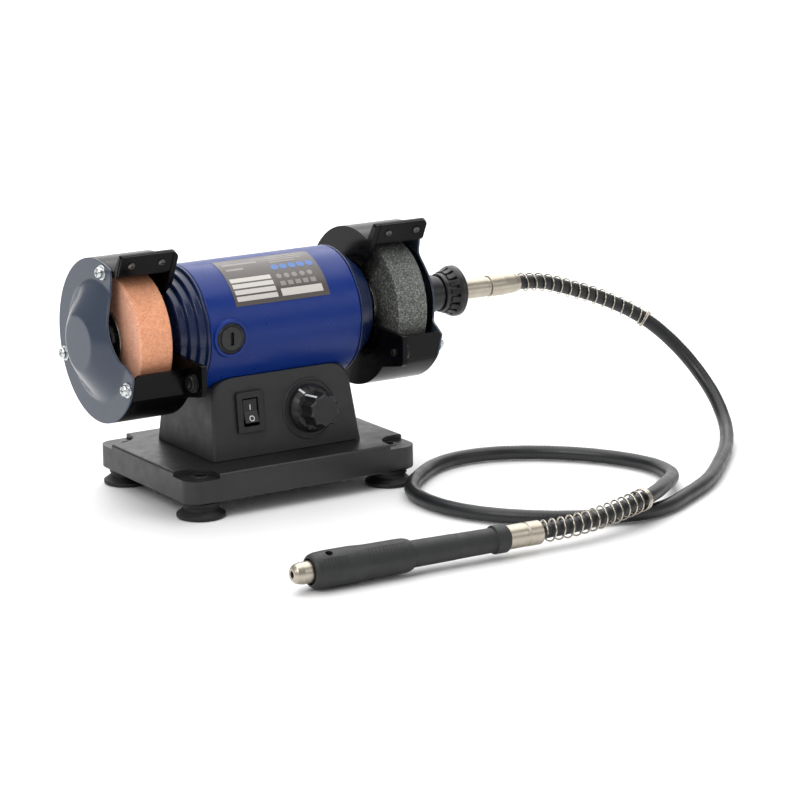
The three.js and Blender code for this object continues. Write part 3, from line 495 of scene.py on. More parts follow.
LOOK = {
    "pedestal": moulded("charcoal_moulded_plastic", (40, 40, 42), 0.5),
    "base": moulded("base_moulded_plastic", (30, 30, 31), 0.38),
    "rubber": coated("foot_rubber", (14, 14, 15), 0.6, grain=0.7, relief=0.03),
    "black": coated("black_plastic", (20, 20, 21), 0.36, grain=0.6, relief=0.012),
    "knob": coated("knob_plastic", (26, 26, 27), 0.42, grain=0.5, relief=0.015),
    "barrel": coated("blue_enamel", (8, 42, 116), 0.32, 1.6, 0.010, 0.06, Specular_IOR_Level=0.28),
    "bell": coated("navy_enamel", (14, 30, 66), 0.27, 1.6, 0.008, Specular_IOR_Level=0.45),
    "guard": coated("black_enamel", (5, 4, 4), 0.22, 2.2, 0.010, spread=0.04, Specular_IOR_Level=0.13),
    "cover": coated("slate_enamel", (56, 64, 79), 0.2, 1.8, 0.010, 0.05, 0.04, Specular_IOR_Level=0.38),
    "dark_steel": coated("blackened_steel", (26, 26, 27), 0.35, grain=0.5, relief=0.01, Metallic=0.6),
    "screw": plated_metal("dull_screw", (104, 103, 100), 0.34),
    "zinc": plated_metal("bright_zinc", (206, 210, 211), 0.26),
    "nickel": turned_metal("satin_nickel", (182, 174, 160), 0.34),
    "spring": plated_metal("nickel_wire", (188, 181, 168), 0.22),
    "steel": turned_metal("turned_steel", (176, 174, 168), 0.28),
    "core": turned_metal("stacked_steel", (120, 118, 114), 0.45, line=0.5, relief=0.05),
    "copper": turned_metal("copper", (196, 122, 82), 0.35),
    "carbon": coated("carbon", (30, 30, 31), 0.7, grain=0.3, relief=0.02),
    "board": coated("circuit_board", (28, 92, 52), 0.35, grain=0.8, relief=0.01),
    "orange": abrasive(
        "orange_wheel", (238, 166, 126), (248, 196, 164), (200, 124, 90), (238, 182, 156), 0.6, 0.5, 0.06
    ),
    # The grey wheel's side-face colour (48, 50, 48) is far darker than its rim: partly its own duller tone,
    # partly painted shade.
    "grey": abrasive(
        "grey_wheel", (104, 107, 104), (160, 162, 156), (46, 48, 46), (48, 50, 48), 0.6, 0.75, 0.14
    ),
    "hose": coated("hose_rubber", (22, 23, 25), 0.38, grain=0.8, relief=0.012),
    "grip": moulded("handpiece_plastic", (33, 34, 34), 0.55, pebble=0.4, relief=0.02),
    "mark": coated("white_print", (215, 218, 218), 0.4, grain=0.3, relief=0.004, vary=0.05),
    "plate": coated("plate_print", (74, 67, 64), 0.38, 0.8, 0.004, 0.08, Coat_Weight=0.2),
    "plate_light": coated("plate_light_print", (198, 194, 188), 0.42, grain=0.6, relief=0.004, vary=0.05),
    "plate_blue": coated("plate_blue_print", (66, 108, 176), 0.4, grain=0.6, relief=0.004, vary=0.06),
    "plate_ruled": coated("plate_ruled_print", (136, 130, 126), 0.42, grain=0.5, relief=0.004, vary=0.08),
}


def on_side(sign, shift=Matrix.Identity(4)):
    """Where a piece drawn for the right end goes on either end of the machine."""
    return (MIRROR @ ON_AXIS if sign < 0 else ON_AXIS) @ shift


def at(x=0, y=0, z=0):
    return Matrix.Translation((x, y, z))


def crossed(head, top, depth, reach, width):
    """A screw head that faces +X with a cross cut into its top."""
    bars = [((top - depth, -a, -b), (top + 1, a, b)) for a, b in ((reach, width / 2), (width / 2, reach))]
    return combined(head, [mesh_of(block(low, high)) for low, high in bars])


# Base, feet and pedestal.
BASE_X, BASE_Y, BASE_BOTTOM, BASE_TOP = 74.7, 55.3, 9.4, 25.4
PAD_X, PAD_Y, PAD_DEPTH = 55.5, 36.5, 2.8
FOOT_X, FOOT_Y = 61.5, 43.4
CORNERS = [(end, side, sx, sy) for side, sx in SIDES for end, sy in (("front", -1), ("rear", 1))]
UPRIGHT = Matrix.Rotation(-pi / 2, 4, "Y")  # stands a lathe's X axis along Z


def rectangle(half_a, half_b, radius):
    a, b = half_a, half_b
    return rounded([(-a, -b, radius), (a, -b, radius), (a, b, radius), (-a, b, radius)], closed=True)


def standing(mesh):
    """A prism drawn along X, turned to stand along Z with its (y, z) outline as (x, y)."""
    mesh.transform(Matrix(((0, 1, 0, 0), (0, 0, 1, 0), (1, 0, 0, 0), (0, 0, 0, 1))))
    return mesh


def add_base():
    # Its side profile as (x, height) from its edge, with rounded corners.
    profile = rounded([(-6, BASE_BOTTOM), (0, BASE_BOTTOM, 0.9), (0, BASE_TOP, 1.5), (-6, BASE_TOP)])
    body = mesh_of(loft([[(a, b, z) for a, b in rectangle(BASE_X + x, BASE_Y + x, 9 + x)]
                         for x, z in profile]))
    under = rectangle(BASE_X - 3.4, BASE_Y - 3.4, 6)
    under = standing(prism([under], BASE_BOTTOM - 1, BASE_BOTTOM + 3.2, edge=0))
    pads, holes = [], []
    for _, _, sx, sy in CORNERS:
        pad = standing(prism([rectangle(40, 40, 13)], BASE_TOP - PAD_DEPTH, BASE_TOP + 5, edge=0))
        pad.transform(at(sx * (PAD_X + 40), sy * (PAD_Y + 40)))
        pads.append(pad)
        hole = standing(prism([arc(3, 0, 348.75, 31)], 5, 40, edge=0))
        hole.transform(at(sx * FOOT_X, sy * FOOT_Y))
        holes.append(hole)
    body = softened(combined(body, [under, *pads, *holes]), 0.6, 40, 3)
    piece("base_moulding", body, "base", ["base_plate", "bottom_cover"])
    # A raised lip round each bench-bolt hole.
    ring = lathe([(-0.4, 3.15), (0.45, 3.15, 0.15), (0.45, 5.0, 0.4), (-0.4, 5.2)], SMALL, closed=True)
    for end, side, sx, sy in CORNERS:
        lip_at = at(sx * FOOT_X, sy * FOOT_Y, BASE_TOP - PAD_DEPTH) @ UPRIGHT
        piece(f"hole_lip_{end}_{side}", ring, "base", place=lip_at)


def add_feet():
    shell = lathe([
        (3.4, 0), (3.4, 4, 0.8), (1.2, 9.5, 1.5), (0.0, 11.2, 0.4), (0.0, 13.5, 0.3), (0.5, 13.8, 0.4),
        (1.9, 13.75, 0.5), (2.6, 12.6, 0.8), (4.7, 9.9, 1.6), (6.4, 9.5, 0.5), (6.4, 10.3, 0.3),
        (8.6, 10.3, 0.5), (9.1, 9.4), (9.1, 2.6), (20, 2.6, 0.5), (20, 0),
    ], 72)
    for end, side, sx, sy in CORNERS:
        foot_at = at(sx * FOOT_X, sy * FOOT_Y) @ UPRIGHT
        piece(f"suction_foot_{end}_{side}", shell, "rubber", f"foot_{end}_{side}", foot_at, 50)


FRONT_BOTTOM, FRONT_OUT, PANEL_UP, PANEL_BACK = 25.7, 33.3, 45.3, 5.3
LEAN = atan2(PANEL_BACK, PANEL_UP)


def panel(x, up, rear=False):
    """A place on the front panel whose +X stands out of the panel, Y runs to its right and Z up it."""
    side = Matrix.Rotation(pi if rear else 0, 4, "Z")
    lean = Matrix.Rotation(-LEAN, 4, "X")
    return side @ at(0, -FRONT_OUT, FRONT_BOTTOM) @ lean @ at(x, 0, up) @ FACING_FRONT


SWITCH_PLACE, KNOB_PLACE, GLAND_PLACE = panel(-22, 25.3), panel(17, 22), panel(-24, 14, rear=True)


def add_pedestal():
    bottom, top, corner = FRONT_BOTTOM, 71, 12
    half_x = lambda z: 47 - 3 * (z - bottom) / (top - bottom)
    half_y = lambda z: FRONT_OUT - PANEL_BACK * (z - bottom) / (top - bottom)
    # The right-hand edge leans out a little more than the left-hand one.
    flare = lambda z: 2.6 * (top - z) / (top - bottom)
    shoulder = top - corner
    heights = [bottom + (shoulder - bottom) * k / 6 for k in range(6)]
    levels = [(z, half_x(z)) for z in heights] + [(shoulder, half_x(shoulder))]
    for k in range(1, 9):
        t = k / 8
        start, middle, end = (1 - t) ** 2, 2 * t * (1 - t), t * t
        x = start * half_x(shoulder) + middle * half_x(top) + end * (half_x(top) - corner)
        levels.append((start * shoulder + middle * top + end * top, x))
    rings = []
    for z, x in levels:
        outline = rectangle(x, half_y(z), 2.2)
        rings.append([(a + (flare(z) if a > 0 else 0), b, z) for a, b in outline])
    body = mesh_of(loft(rings))
    barrel = mesh_of(moved(lathe([(-80, 0), (-80, 37.1), (80, 37.1), (80, 0)], 144), ON_AXIS))
    dial = [(-1, 16.0), (0.55, 16.1, 0.3), (0.75, 16.8, 0.4), (0.6, 17.5, 0.4), (-1, 17.7)]
    dial = mesh_of(moved(lathe(dial, FINE, closed=True), KNOB_PLACE))
    well = mesh_of(moved(block((-14, -6.9, -9.9), (2, 6.9, 9.9)), SWITCH_PLACE))
    body = combined(combined(body, [barrel, well]), [dial], "UNION")
    piece("pedestal_moulding", softened(body, 0.5, 38, 3), "pedestal", "pedestal")


def add_switch():
    frame_outside, frame_inside = rectangle(8.6, 11.7, 1.4), rectangle(4.95, 7.85, 0.6)
    flange = prism([frame_outside, frame_inside], 0.35, 2.1, edge=0.45)
    inner = prism([rectangle(6.2, 9.2, 0.8), frame_inside], -9, 0.9, edge=0.1)
    floor = prism([rectangle(5.5, 8.4, 0.4)], -9.2, -8.2, edge=0.1)
    body = combined(flange, [inner, floor], "UNION")
    piece("switch_bezel", body, "black", "switch_housing", SWITCH_PLACE)

    hinge = SWITCH_PLACE @ at(-2, 0, 0) @ Matrix.Rotation(radians(-9), 4, "Y")
    outline = [(-4.4, -7, 0.6), (1, -6.2, 0.5), (3, 0, 1), (1, 6.2, 0.5), (-4.4, 7, 0.6), (-3.1, 0, 4)]
    rocker = prism([rounded(outline, closed=True)], -4.5, 4.5, edge=0.35)
    # The prism's outline is (depth, up) across the panel: turn its X to the panel's Y.
    rocker.transform(Matrix(((0, -1, 0, 0), (1, 0, 0, 0), (0, 0, 1, 0), (0, 0, 0, 1))))
    piece("rocker_cap", rocker, "black", "switch_rocker", hinge, 35, "rocker")
    slope = atan2(1.3, 7)
    lower = at(3.1 + 4.3 * tan(slope) - 0.03, 0, -4.3) @ Matrix.Rotation(-slope, 4, "Y")
    upper = at(3.1 + 2.2 * tan(slope) - 0.03, 0, 2.2) @ Matrix.Rotation(slope, 4, "Y")
    nought = lathe([(-0.1, 1.15), (0.14, 1.15, 0.05), (0.14, 1.7, 0.05), (-0.1, 1.7)], SMALL, closed=True)
    piece("rocker_mark_o", nought, "mark", place=hinge @ lower, body="rocker")
    bar = prism([rectangle(0.32, 1.5, 0.2)], -0.1, 0.14, edge=0.04)
    piece("rocker_mark_i", bar, "mark", place=hinge @ upper, body="rocker")


def add_knob():
    flutes, pointer = 10, radians(122.5)

    def fluted(x, r, a):
        if x < 6.2 or r < 7:
            return r
        return r - 1.5 * abs(sin(flutes / 2 * (a - pointer))) * min(1, (r - 7) / 2)

    knob = lathe([
        (1.2, 0), (1.2, 13.2, 0.3), (1.9, 13.8, 0.5), (3.0, 13.8, 0.7), (6.4, 11.6, 0.8), (6.5, 10.5, 0.3),
        (17.0, 9.95, 0.3), (18, 9.2, 0.6), (17.75, 7.6, 0.4), (17.6, 0),
    ], 256, radius_at=fluted)
    piece("dial_knob", knob, "knob", "speed_knob", KNOB_PLACE, 50, "knob")
    # The pointer: one stroke on the sloping skirt, and one along the grip.
    turn = KNOB_PLACE @ Matrix.Rotation(pointer, 4, "X")
    strokes = (
        ("skirt", (-2.3, -0.22, -0.62), (2.2, 0.3, 0.62), 0.15, at(4.7, 12.75, 0), atan2(2.4, 3.4)),
        ("grip", (-5.9, -0.4, -0.6), (5.8, 0.25, 0.6), 0.2, at(11.9, 10.25, 0), atan2(0.55, 10.5)),
    )
    for name, low, high, edge, middle, slope in strokes:
        along = turn @ middle @ Matrix.Rotation(-slope, 4, "Z")
        stroke = softened(mesh_of(block(low, high)), edge)
        piece(f"pointer_{name}", stroke, "mark", place=along, body="knob")


def add_gland():
    shell = lathe([
        (-4, 3.4), (-4, 5.1, 0.3), (0.3, 5.1), (0.3, 7.6, 0.4), (2.2, 7.6, 0.7), (2.4, 5.6, 0.5),
        (4.6, 5.3, 0.3), (4.8, 4.9, 0.2), (5.6, 4.9, 0.2), (5.8, 5.15, 0.3), (7.4, 5.0, 0.3), (7.6, 4.6, 0.2),
        (8.4, 4.6, 0.2), (8.6, 4.85, 0.3), (10, 4.7, 0.4), (10, 3.4, 0.2),
    ], SMALL, closed=True)
    piece("gland", shell, "rubber", "cable_gland", GLAND_PLACE)


# Motor.
BRUSH_X = -36.7
BARREL_R, BARREL_HALF = 36.8, 48.6


def add_barrel():
    skin = lathe([
        (-BARREL_HALF, 34), (-BARREL_HALF, BARREL_R, 0.9), (-47, BARREL_R - 0.05), (47, BARREL_R - 0.05),
        (BARREL_HALF, BARREL_R, 0.9), (BARREL_HALF, 34),
    ], 160, closed=True)
    out = [Matrix.Rotation(turn, 4, "Z") for turn in (-pi / 2, pi / 2)]
    ring = lathe([(34.6, 8.75), (38.2, 8.8, 0.3), (38.2, 10.5, 0.5), (34.6, 11.2)], 80, closed=True)
    rings = [moved(ring, at(BRUSH_X) @ turn) for turn in out]
    piece("barrel_shell", [skin, *rings], "barrel", "motor_barrel", ON_AXIS, 35)
    cap = mesh_of(lathe([
        (27, 0), (27, 5), (33, 5), (33, 8.6), (37.9, 8.6, 0.3), (38.5, 7.9, 0.3), (37.9, 7.3, 0.2),
        (37.9, 6.9, 0.2), (38.9, 6.5, 0.5), (39, 0),
    ], 80))
    cap = combined(cap, [mesh_of(block((37.2, -3.7, -1.1), (41, 3.7, 1.1)))])
    cap = softened(cap, 0.15, 40, 2)
    for end, turn in zip(("front", "rear"), out):
        cap_at = ON_AXIS @ at(BRUSH_X) @ turn @ Matrix.Rotation(pi / 2, 4, "X")
        piece(f"brush_cap_moulding_{end}", cap, "black", f"brush_cap_{end}", cap_at)


def add_end_bells():
    bell = lathe([
        (46, 33), (46, 34.9), (48.9, 34.9), (48.9, 36.8, 0.4), (50.4, 36.8, 0.8), (50.6, 34.5, 0.6),
        (54.2, 34.0, 0.9), (54.5, 31.1, 0.6), (58.3, 30.6, 0.9), (58.6, 27.5, 0.6), (62.7, 27.0, 1.0),
        (62.9, 18.4, 0.8), (66, 17.8, 0.8), (66, 5.2, 0.4), (55.1, 5.2), (55.1, 24), (46, 33),
    ], 128)
    for side, sign in SIDES:
        piece(f"end_bell_casting_{side}", bell, "bell", f"end_bell_{side}", on_side(sign), 50)


def add_rating_plate():
    """A plain plate: ruled boxes and round marks with nothing in them."""
    radius, half = BARREL_R + 0.06, 30.4
    low, high = radians(26), radians(82)

    def patch(x0, x1, v0, v1, lift=0.12, thick=0.1):
        """A strip on the barrel, v from 0 at the plate's lower edge to 1 at its upper edge."""
        rows, cols = max(2, round((v1 - v0) * 24)), max(2, round((x1 - x0) / 3))
        points, faces = [], []
        for layer in (lift, lift - thick):
            for i in range(rows + 1):
                a = low + (high - low) * (v0 + (v1 - v0) * i / rows)
                for j in range(cols + 1):
                    r = radius + layer
                    points.append((x0 + (x1 - x0) * j / cols, -r * cos(a), r * sin(a)))
        step, size = cols + 1, (rows + 1) * (cols + 1)
        for i in range(rows):
            for j in range(cols):
                k = i * step + j
                faces.append((k, k + 1, k + step + 1, k + step))
                faces.append((size + k, size + k + step, size + k + step + 1, size + k + 1))
        edge = [(i * step) for i in range(rows + 1)] + [rows * step + j for j in range(1, cols + 1)]
        edge += [i * step + cols for i in range(rows - 1, -1, -1)] + [j for j in range(cols - 1, 0, -1)]
        for a, b in zip(edge, edge[1:] + edge[:1]):
            faces.append((a, b, size + b, size + a))
        return points, faces

    def dot(x, v, r):
        a = low + (high - low) * v
        shell = lathe([(-0.2, 0), (-0.2, r), (0.1, r, 0.05), (0.1, 0)], 32)
        spot = at(x, -radius * cos(a), radius * sin(a))
        return moved(shell, spot @ FACING_FRONT @ Matrix.Rotation(-a, 4, "Y"))

    rows = [0.075 + 0.11 * k for k in range(4)]
    ruled = [patch(-27, -27 + w, v, v + 0.05) for w, v in ((22, 0.80), (11, 0.66))]
    ruled += [patch(2.5, 2.5 + w, v, v + 0.026) for w, v in ((20, 0.93), (19, 0.87), (21, 0.81), (16, 0.75))]
    pale = [dot(2.6 + 5.0 * k, 0.43, 1.7) for k in range(5)]
    pale += [patch(1.5 + 4.9 * k, 4.9 + 4.9 * k, 0.25, 0.33) for k in range(5)]
    boxes = [patch(-28.6, -2.5, v, v + 0.08) for v in rows] + [patch(0.2, 26.8, 0.075, 0.2)]
    marks = (
        ("rating_plate", "plate", [patch(-half, half, 0, 1, 0.08, 0.18)]),
        ("plate_boxes", "plate_light", boxes),
        ("plate_rules", "plate_ruled", ruled),
        ("plate_dots", "plate_blue", [dot(3.2 + 5.6 * k, 0.63, 2.3) for k in range(5)]),
        ("plate_light_dots", "plate_ruled", pale),
    )
    for name, look, shells in marks:
        piece(name, shells, look, place=ON_AXIS)


# Rotor.
WHEEL_MIDDLE = 82.9
WHEEL_R, WHEEL_HALF, WHEEL_BORE = 37.5, 10, 5.25


def add_rotor():
    half = [(66.8, 4), (66.8, 9, 0.4), (70.2, 9, 0.6), (70.2, 16.3, 0.3), (72.6, 16.5, 0.5), (72.6, 5)]
    profile = [(-104, 0), (-104, 4.4, 0.3), (-103.2, 5)] + [(-x, *rest) for x, *rest in reversed(half)] + half
    profile += [(103.2, 5), (104, 4.4, 0.3), (104, 3.2), (124, 3.2, 0.4), (124, 0)]
    piece("shaft_with_flanges", lathe(profile), "steel", "motor_shaft", ON_AXIS, 50, "rotor")
    flange = lathe([(93.2, 5.25), (93.2, 16.5, 0.3), (94.6, 16.5, 0.5), (95.6, 12.8, 0.8), (95.6, 5.25)],
                   FINE, closed=True)
    hexagon = [(9.2 * cos(pi / 3 * k), 9.2 * sin(pi / 3 * k), 0.4) for k in range(6)]
    circle = [(5.25 * cos(pi / 20 * k), 5.25 * sin(pi / 20 * k)) for k in range(40)]
    nut = prism([rounded(hexagon, closed=True), circle], 95.9, 102.3, edge=0.4)

    for side, sign in SIDES:
        grit, rough = ("orange", 0.05) if sign < 0 else ("grey", 0.16)
        inner_rows = [(-WHEEL_HALF, WHEEL_BORE + (WHEEL_R - 1 - WHEEL_BORE) * k / 12) for k in range(13)]
        rim = [(-WHEEL_HALF + 0.3, WHEEL_R - 0.35)]
        rim += [(-WHEEL_HALF + 0.9 + (2 * WHEEL_HALF - 1.8) * k / 24, WHEEL_R) for k in range(25)]
        rim += [(WHEEL_HALF - 0.3, WHEEL_R - 0.35)]
        outer_rows = [(-x, r) for x, r in reversed(inner_rows)]
        points, faces = lathe(inner_rows + rim + outer_rows, 288, closed=True)
        chipped = []
        for p in points:
            p = Vector(p)
            out = Vector((0, p.y, p.z)).normalized()
            edge = hypot(p.y, p.z) > WHEEL_R - 1.2
            push = noise.noise(p * 0.95 + Vector((7, 0, 0))) * rough + noise.noise(p * 0.33) * rough * 0.5
            face = Vector((copysign(1, p.x), 0, 0)) * (0.5 * push if abs(p.x) > WHEEL_HALF - 0.5 else 0)
            chipped.append(p + out * (push if edge else 0) + face)
        piece(f"abrasive_wheel_{side}", (chipped, faces), grit, f"grinding_wheel_{side}",
              on_side(sign, at(WHEEL_MIDDLE)), 60, "rotor")
        piece(f"outer_flange_{side}", flange, "steel", f"wheel_flange_{side}", on_side(sign), 50, "rotor")
        piece(f"hex_nut_{side}", nut, "zinc", f"wheel_nut_{side}", on_side(sign), 35, "rotor")


# Guards.
GUARD_R, GUARD_WALL, PLATE_IN, PLATE_OUT, BAND_END = 46.2, 1.5, 63.3, 66.3, 98.9
FLAT_LOW, FLAT_TOP, FLAT_INSIDE, BACK_TOP = -37.6, (-42.5, -12), (-40.9, -12), -19.9
VISOR_ROOT, VISOR_TIP = Vector((-22.2, 38.6)), Vector((-28.5, 51.5))
VISOR_ALONG = (VISOR_TIP - VISOR_ROOT).normalized()
VISOR_OUT = Vector((-VISOR_ALONG.y, VISOR_ALONG.x))
TAB_BOLT = (-49.4, -18.8)
SCREW_ANGLES, SCREW_R = (103, -20, 211), 41


def on_visor(up, out):
    return tuple(VISOR_ROOT + VISOR_ALONG * up + VISOR_OUT * out)


def visor_place(x, up, out):
    """A place on the visor whose +X stands out of its front, Y runs along the shaft and Z up the visor."""
    y, z = on_visor(up, out)
    turn = Matrix((
        (0, 1, 0, 0),
        (VISOR_OUT.x, 0, VISOR_ALONG.x, 0),
        (VISOR_OUT.y, 0, VISOR_ALONG.y, 0),
        (0, 0, 0, 1),
    ))
    return at(x, y, z) @ turn


def arc(radius, start, end, steps):
    return [(radius * cos(radians(start + (end - start) * k / steps)),
             radius * sin(radians(start + (end - start) * k / steps))) for k in range(steps + 1)]


def degrees_of(y, z):
    return degrees(atan2(z, y))


def circle_point(radius, y, sign):
    return y, sign * sqrt(radius * radius - y * y)


def corner_cutter(x, top, sign, radius):
    """An outline that takes a square corner at (x, top) down to a radius; sign points back into the plate."""
    turns = [pi / 2 * k / 8 for k in range(9)]
    curve = [(x + sign * radius * (1 - cos(t)), top - radius + radius * sin(t)) for t in turns]
    return [*curve, (x + sign * radius, top + 3), (x - sign * 3, top + 3), (x - sign * 3, top - radius)]


def guard_mesh(motor_corner, outer_corner):
    """The drum, its visor and the plate next to the motor, with the radii of the visor's two corners."""
    inner = GUARD_R - GUARD_WALL
    start = degrees_of(*circle_point(GUARD_R, FLAT_LOW, -1))
    end = degrees_of(*circle_point(GUARD_R, BACK_TOP, 1))
    inner_start = degrees_of(*circle_point(inner, FLAT_LOW + GUARD_WALL, -1))
    inner_end = degrees_of(*circle_point(inner, BACK_TOP - 1, 1))
    outer = arc(GUARD_R, start, end, 110)
    band = [FLAT_TOP, *outer, on_visor(14.2, -GUARD_WALL), tuple(VISOR_TIP),
            tuple(VISOR_ROOT), *arc(inner, inner_end, inner_start, 110), FLAT_INSIDE]
    body = prism([band], PLATE_OUT - 1, BAND_END, edge=0)
    hole = 19.5
    joined = [p for p in outer if p[0] > -36.2 or p[1] > 0]
    hole_top = degrees_of(*circle_point(hole, -12, 1))
    hole_low = degrees_of(-sqrt(hole * hole - 49), -7)
    plate = [(-57, -8.4, 1.2), (-57, -25.5, 3), *joined,
             on_visor(14.2, -GUARD_WALL), (-29.8, 50.7, 0.5), (-24.25, 39.4, 4), (-20.5, 31.5, 5),
             (-11.5, 24, 2), *arc(hole, hole_top, hole_low, 90)]
    body = combined(body, [prism([rounded(plate, closed=True)], PLATE_IN, PLATE_OUT, edge=0)], "UNION")
    flat_corner = prism([corner_cutter(BAND_END, FLAT_TOP[1], -1, 3)], -46, -36, edge=0)
    # The cutter's outline is (along, up): swap X and Y, which turns its faces round.
    flat_corner.transform(Matrix(((0, 1, 0, 0), (1, 0, 0, 0), (0, 0, 1, 0), (0, 0, 0, 1))))
    flat_corner.flip_normals()
    cuts = [flat_corner]
    top = (VISOR_TIP - VISOR_ROOT).length
    for x, sign, radius in ((PLATE_IN, 1, motor_corner), (BAND_END, -1, outer_corner)):
        rounder = prism([corner_cutter(x, top, sign, radius)], -4, 6, edge=0)
        rounder.transform(visor_place(0, 0, 0))
        cuts.append(rounder)
    cuts.append(mesh_of(moved(lathe([(60, 0), (60, 2.6), (70, 2.6), (70, 0)], SMALL), at(0, *TAB_BOLT))))
    return softened(combined(body, cuts), 0.4, 32, 3)


def add_guards():
    lug = lathe([(94.4, 0), (94.4, 4.1, 0.4), (98.6, 4.1, 0.2), (98.6, 0)], 32)
    top = (VISOR_TIP - VISOR_ROOT).length
    head = mesh_of(lathe([(1.2, 0), (1.2, 2.1), (1.8, 2.1, 0.3), (2.5, 1.4, 0.8), (2.6, 0)], 40))
    head = softened(crossed(head, 2.6, 0.8, 1.3, 0.5), 0.06, 40, 2)
    for side, sign in SIDES:
        motor_corner, outer_corner = (4.5, 1.0) if sign < 0 else (1.5, 3.5)
        guard = guard_mesh(motor_corner, outer_corner)
        piece(f"guard_drum_{side}", guard, "guard", f"guard_housing_{side}", on_side(sign), 50)
        lugs = [moved(lug, at(0, *arc(SCREW_R, a, a, 1)[0])) for a in SCREW_ANGLES]
        piece(f"cover_lugs_{side}", lugs, "guard", place=on_side(sign))
        plate = [(66.6, 1.6, 0.5), (98.6, 1.6, 0.5), (98.6, top, outer_corner), (66.6, top, 0.4)]
        deflector = prism([rounded(plate, closed=True)], 0.3, 1.5, edge=0.3)
        plate_at = on_side(sign) @ visor_place(0, 0, 0)
        piece(f"deflector_plate_{side}", deflector, "guard", f"spark_deflector_{side}", plate_at, 50)
        for index, x in enumerate((73.2, 91.8), 1):
            screw_at = on_side(sign) @ visor_place(x, 8.4, 0.2)
            piece(f"deflector_screw_{side}_{index}", head, "screw", place=screw_at, sharp=35)


COVER_BACK, COVER_SHEET = 99.2, 1.2
DOME_BASE, DOME_TOP, DOME_HEIGHT = 34, 15.5, 11.5


def dome(radius):
    if radius >= DOME_BASE:
        return 0
    rise = min((DOME_BASE - radius) / (DOME_BASE - DOME_TOP), 1)
    eased = rise * rise * (3 - 2 * rise)
    return DOME_HEIGHT * (0.7 * rise + 0.3 * eased)


def smooth_dome(radius, blur=0.9):
    """The dome's height with its two creases pressed round."""
    return sum(dome(abs(radius + blur * k / 4)) for k in range(-4, 5)) / 9


def cover_edge():
    """The cover's outline as radii at every degree: a disc with its front cut away in a curve."""
    line = [(-19.9, 41.2), (-17.9, 36), (-17.3, 31), (-18.1, 26), (-19.7, 21.7), (-22.1, 13.6), (-24.8, 5.8),
            (-26.3, 1.5), (-28.7, -4.6), (-31.5, -8.6), (-36.5, -11.2), (-42.3, -12.3)]
    dense, _ = smooth_route([(0, y, z) for y, z in line], 0.3)
    flat_top, flat_low = Vector((0, *FLAT_TOP)), Vector((0, *circle_point(GUARD_R, FLAT_LOW, -1)))
    dense += [flat_top.lerp(flat_low, k / 30) for k in range(1, 31)]
    table = sorted((degrees(atan2(p.z, p.y)) % 360, hypot(p.y, p.z)) for p in dense)
    edge = []
    for a in [k * 360 / 480 for k in range(480)]:
        r = GUARD_R
        if table[0][0] <= a <= table[-1][0]:
            k = next(i for i, (b, _) in enumerate(table) if b >= a)
            (b0, r0), (b1, r1) = table[max(k - 1, 0)], table[k]
            r = min(r, r0 + (r1 - r0) * ((a - b0) / (b1 - b0) if b1 > b0 else 0))
        edge.append((radians(a), r))
    return edge


def cover_mesh(hole):
    edge = cover_edge()
    # A light blur rounds the two corners where the cut meets the disc.
    radii = [r for _, r in edge]
    n = len(radii)
    radii = [sum(radii[(k + j) % n] for j in range(-3, 4)) / 7 for k in range(n)]
    steps, lip = 46, 0.35
    points, faces, rows = [], [], []

    def row(radius_of, x_of):
        rows.append(len(points))
        for (a, _), r in zip(edge, radii):
            q = radius_of(r)
            points.append((x_of(q), q * cos(a), q * sin(a)))

    front = COVER_BACK + COVER_SHEET
    inner = hole or 0.02
    for i in range(steps + 1):
        t = (i / steps) ** 0.9
        row(lambda r: inner + (r - lip - inner) * t, lambda q: front + smooth_dome(q))
    for k in range(1, 5):
        a = pi / 2 * k / 4
        row(lambda r: r - lip + lip * sin(a), lambda q: front - lip + lip * cos(a) + smooth_dome(q))
    row(lambda r: r, lambda q: COVER_BACK + 0.1 + smooth_dome(q))
    for i in range(steps, -1, -1):
        t = (i / steps) ** 0.9
        row(lambda r: inner + (r - 0.15 - inner) * t, lambda q: COVER_BACK + smooth_dome(q))
    pairs = list(zip(rows, rows[1:]))
    if hole:
        pairs.append((rows[-1], rows[0]))
    for a, b in pairs:
        for k in range(n):
            j = (k + 1) % n
            faces.append((a + k, b + k, b + j, a + j))
    if not hole:
        faces.append(tuple(rows[0] + k for k in range(n)))
        faces.append(tuple(rows[-1] + k for k in range(n)))
    return points, faces


def add_covers():
    head_at = COVER_BACK + COVER_SHEET
    washer = lathe([(0.05, 0), (0.05, 4.3), (0.95, 4.3, 0.25), (0.95, 3.2), (0.95, 0)], SMALL)
    head = mesh_of(lathe([(0.9, 0), (0.9, 3.2, 0.2), (2.6, 3.2, 0.5), (3.6, 2.5, 0.8), (3.7, 0)], SMALL))
    head = softened(crossed(head, 3.7, 1.1, 1.9, 0.7), 0.1, 40, 2)
    for side, sign in SIDES:
        cover = cover_mesh(8.3 if sign > 0 else 0)
        piece(f"pressed_cover_{side}", cover, "cover", f"guard_cover_{side}", on_side(sign), 60)
        for index, a in enumerate(SCREW_ANGLES, 1):
            turn = Matrix.Rotation(radians(a * 1.7), 4, "X")
            place = on_side(sign, at(head_at, *arc(SCREW_R, a, a, 1)[0]) @ turn)
            piece(f"screw_head_{side}_{index}", head, "zinc", f"cover_screw_{side}_{index}", place, 35)
            piece(f"screw_washer_{side}_{index}", washer, "zinc", place=place, sharp=50)


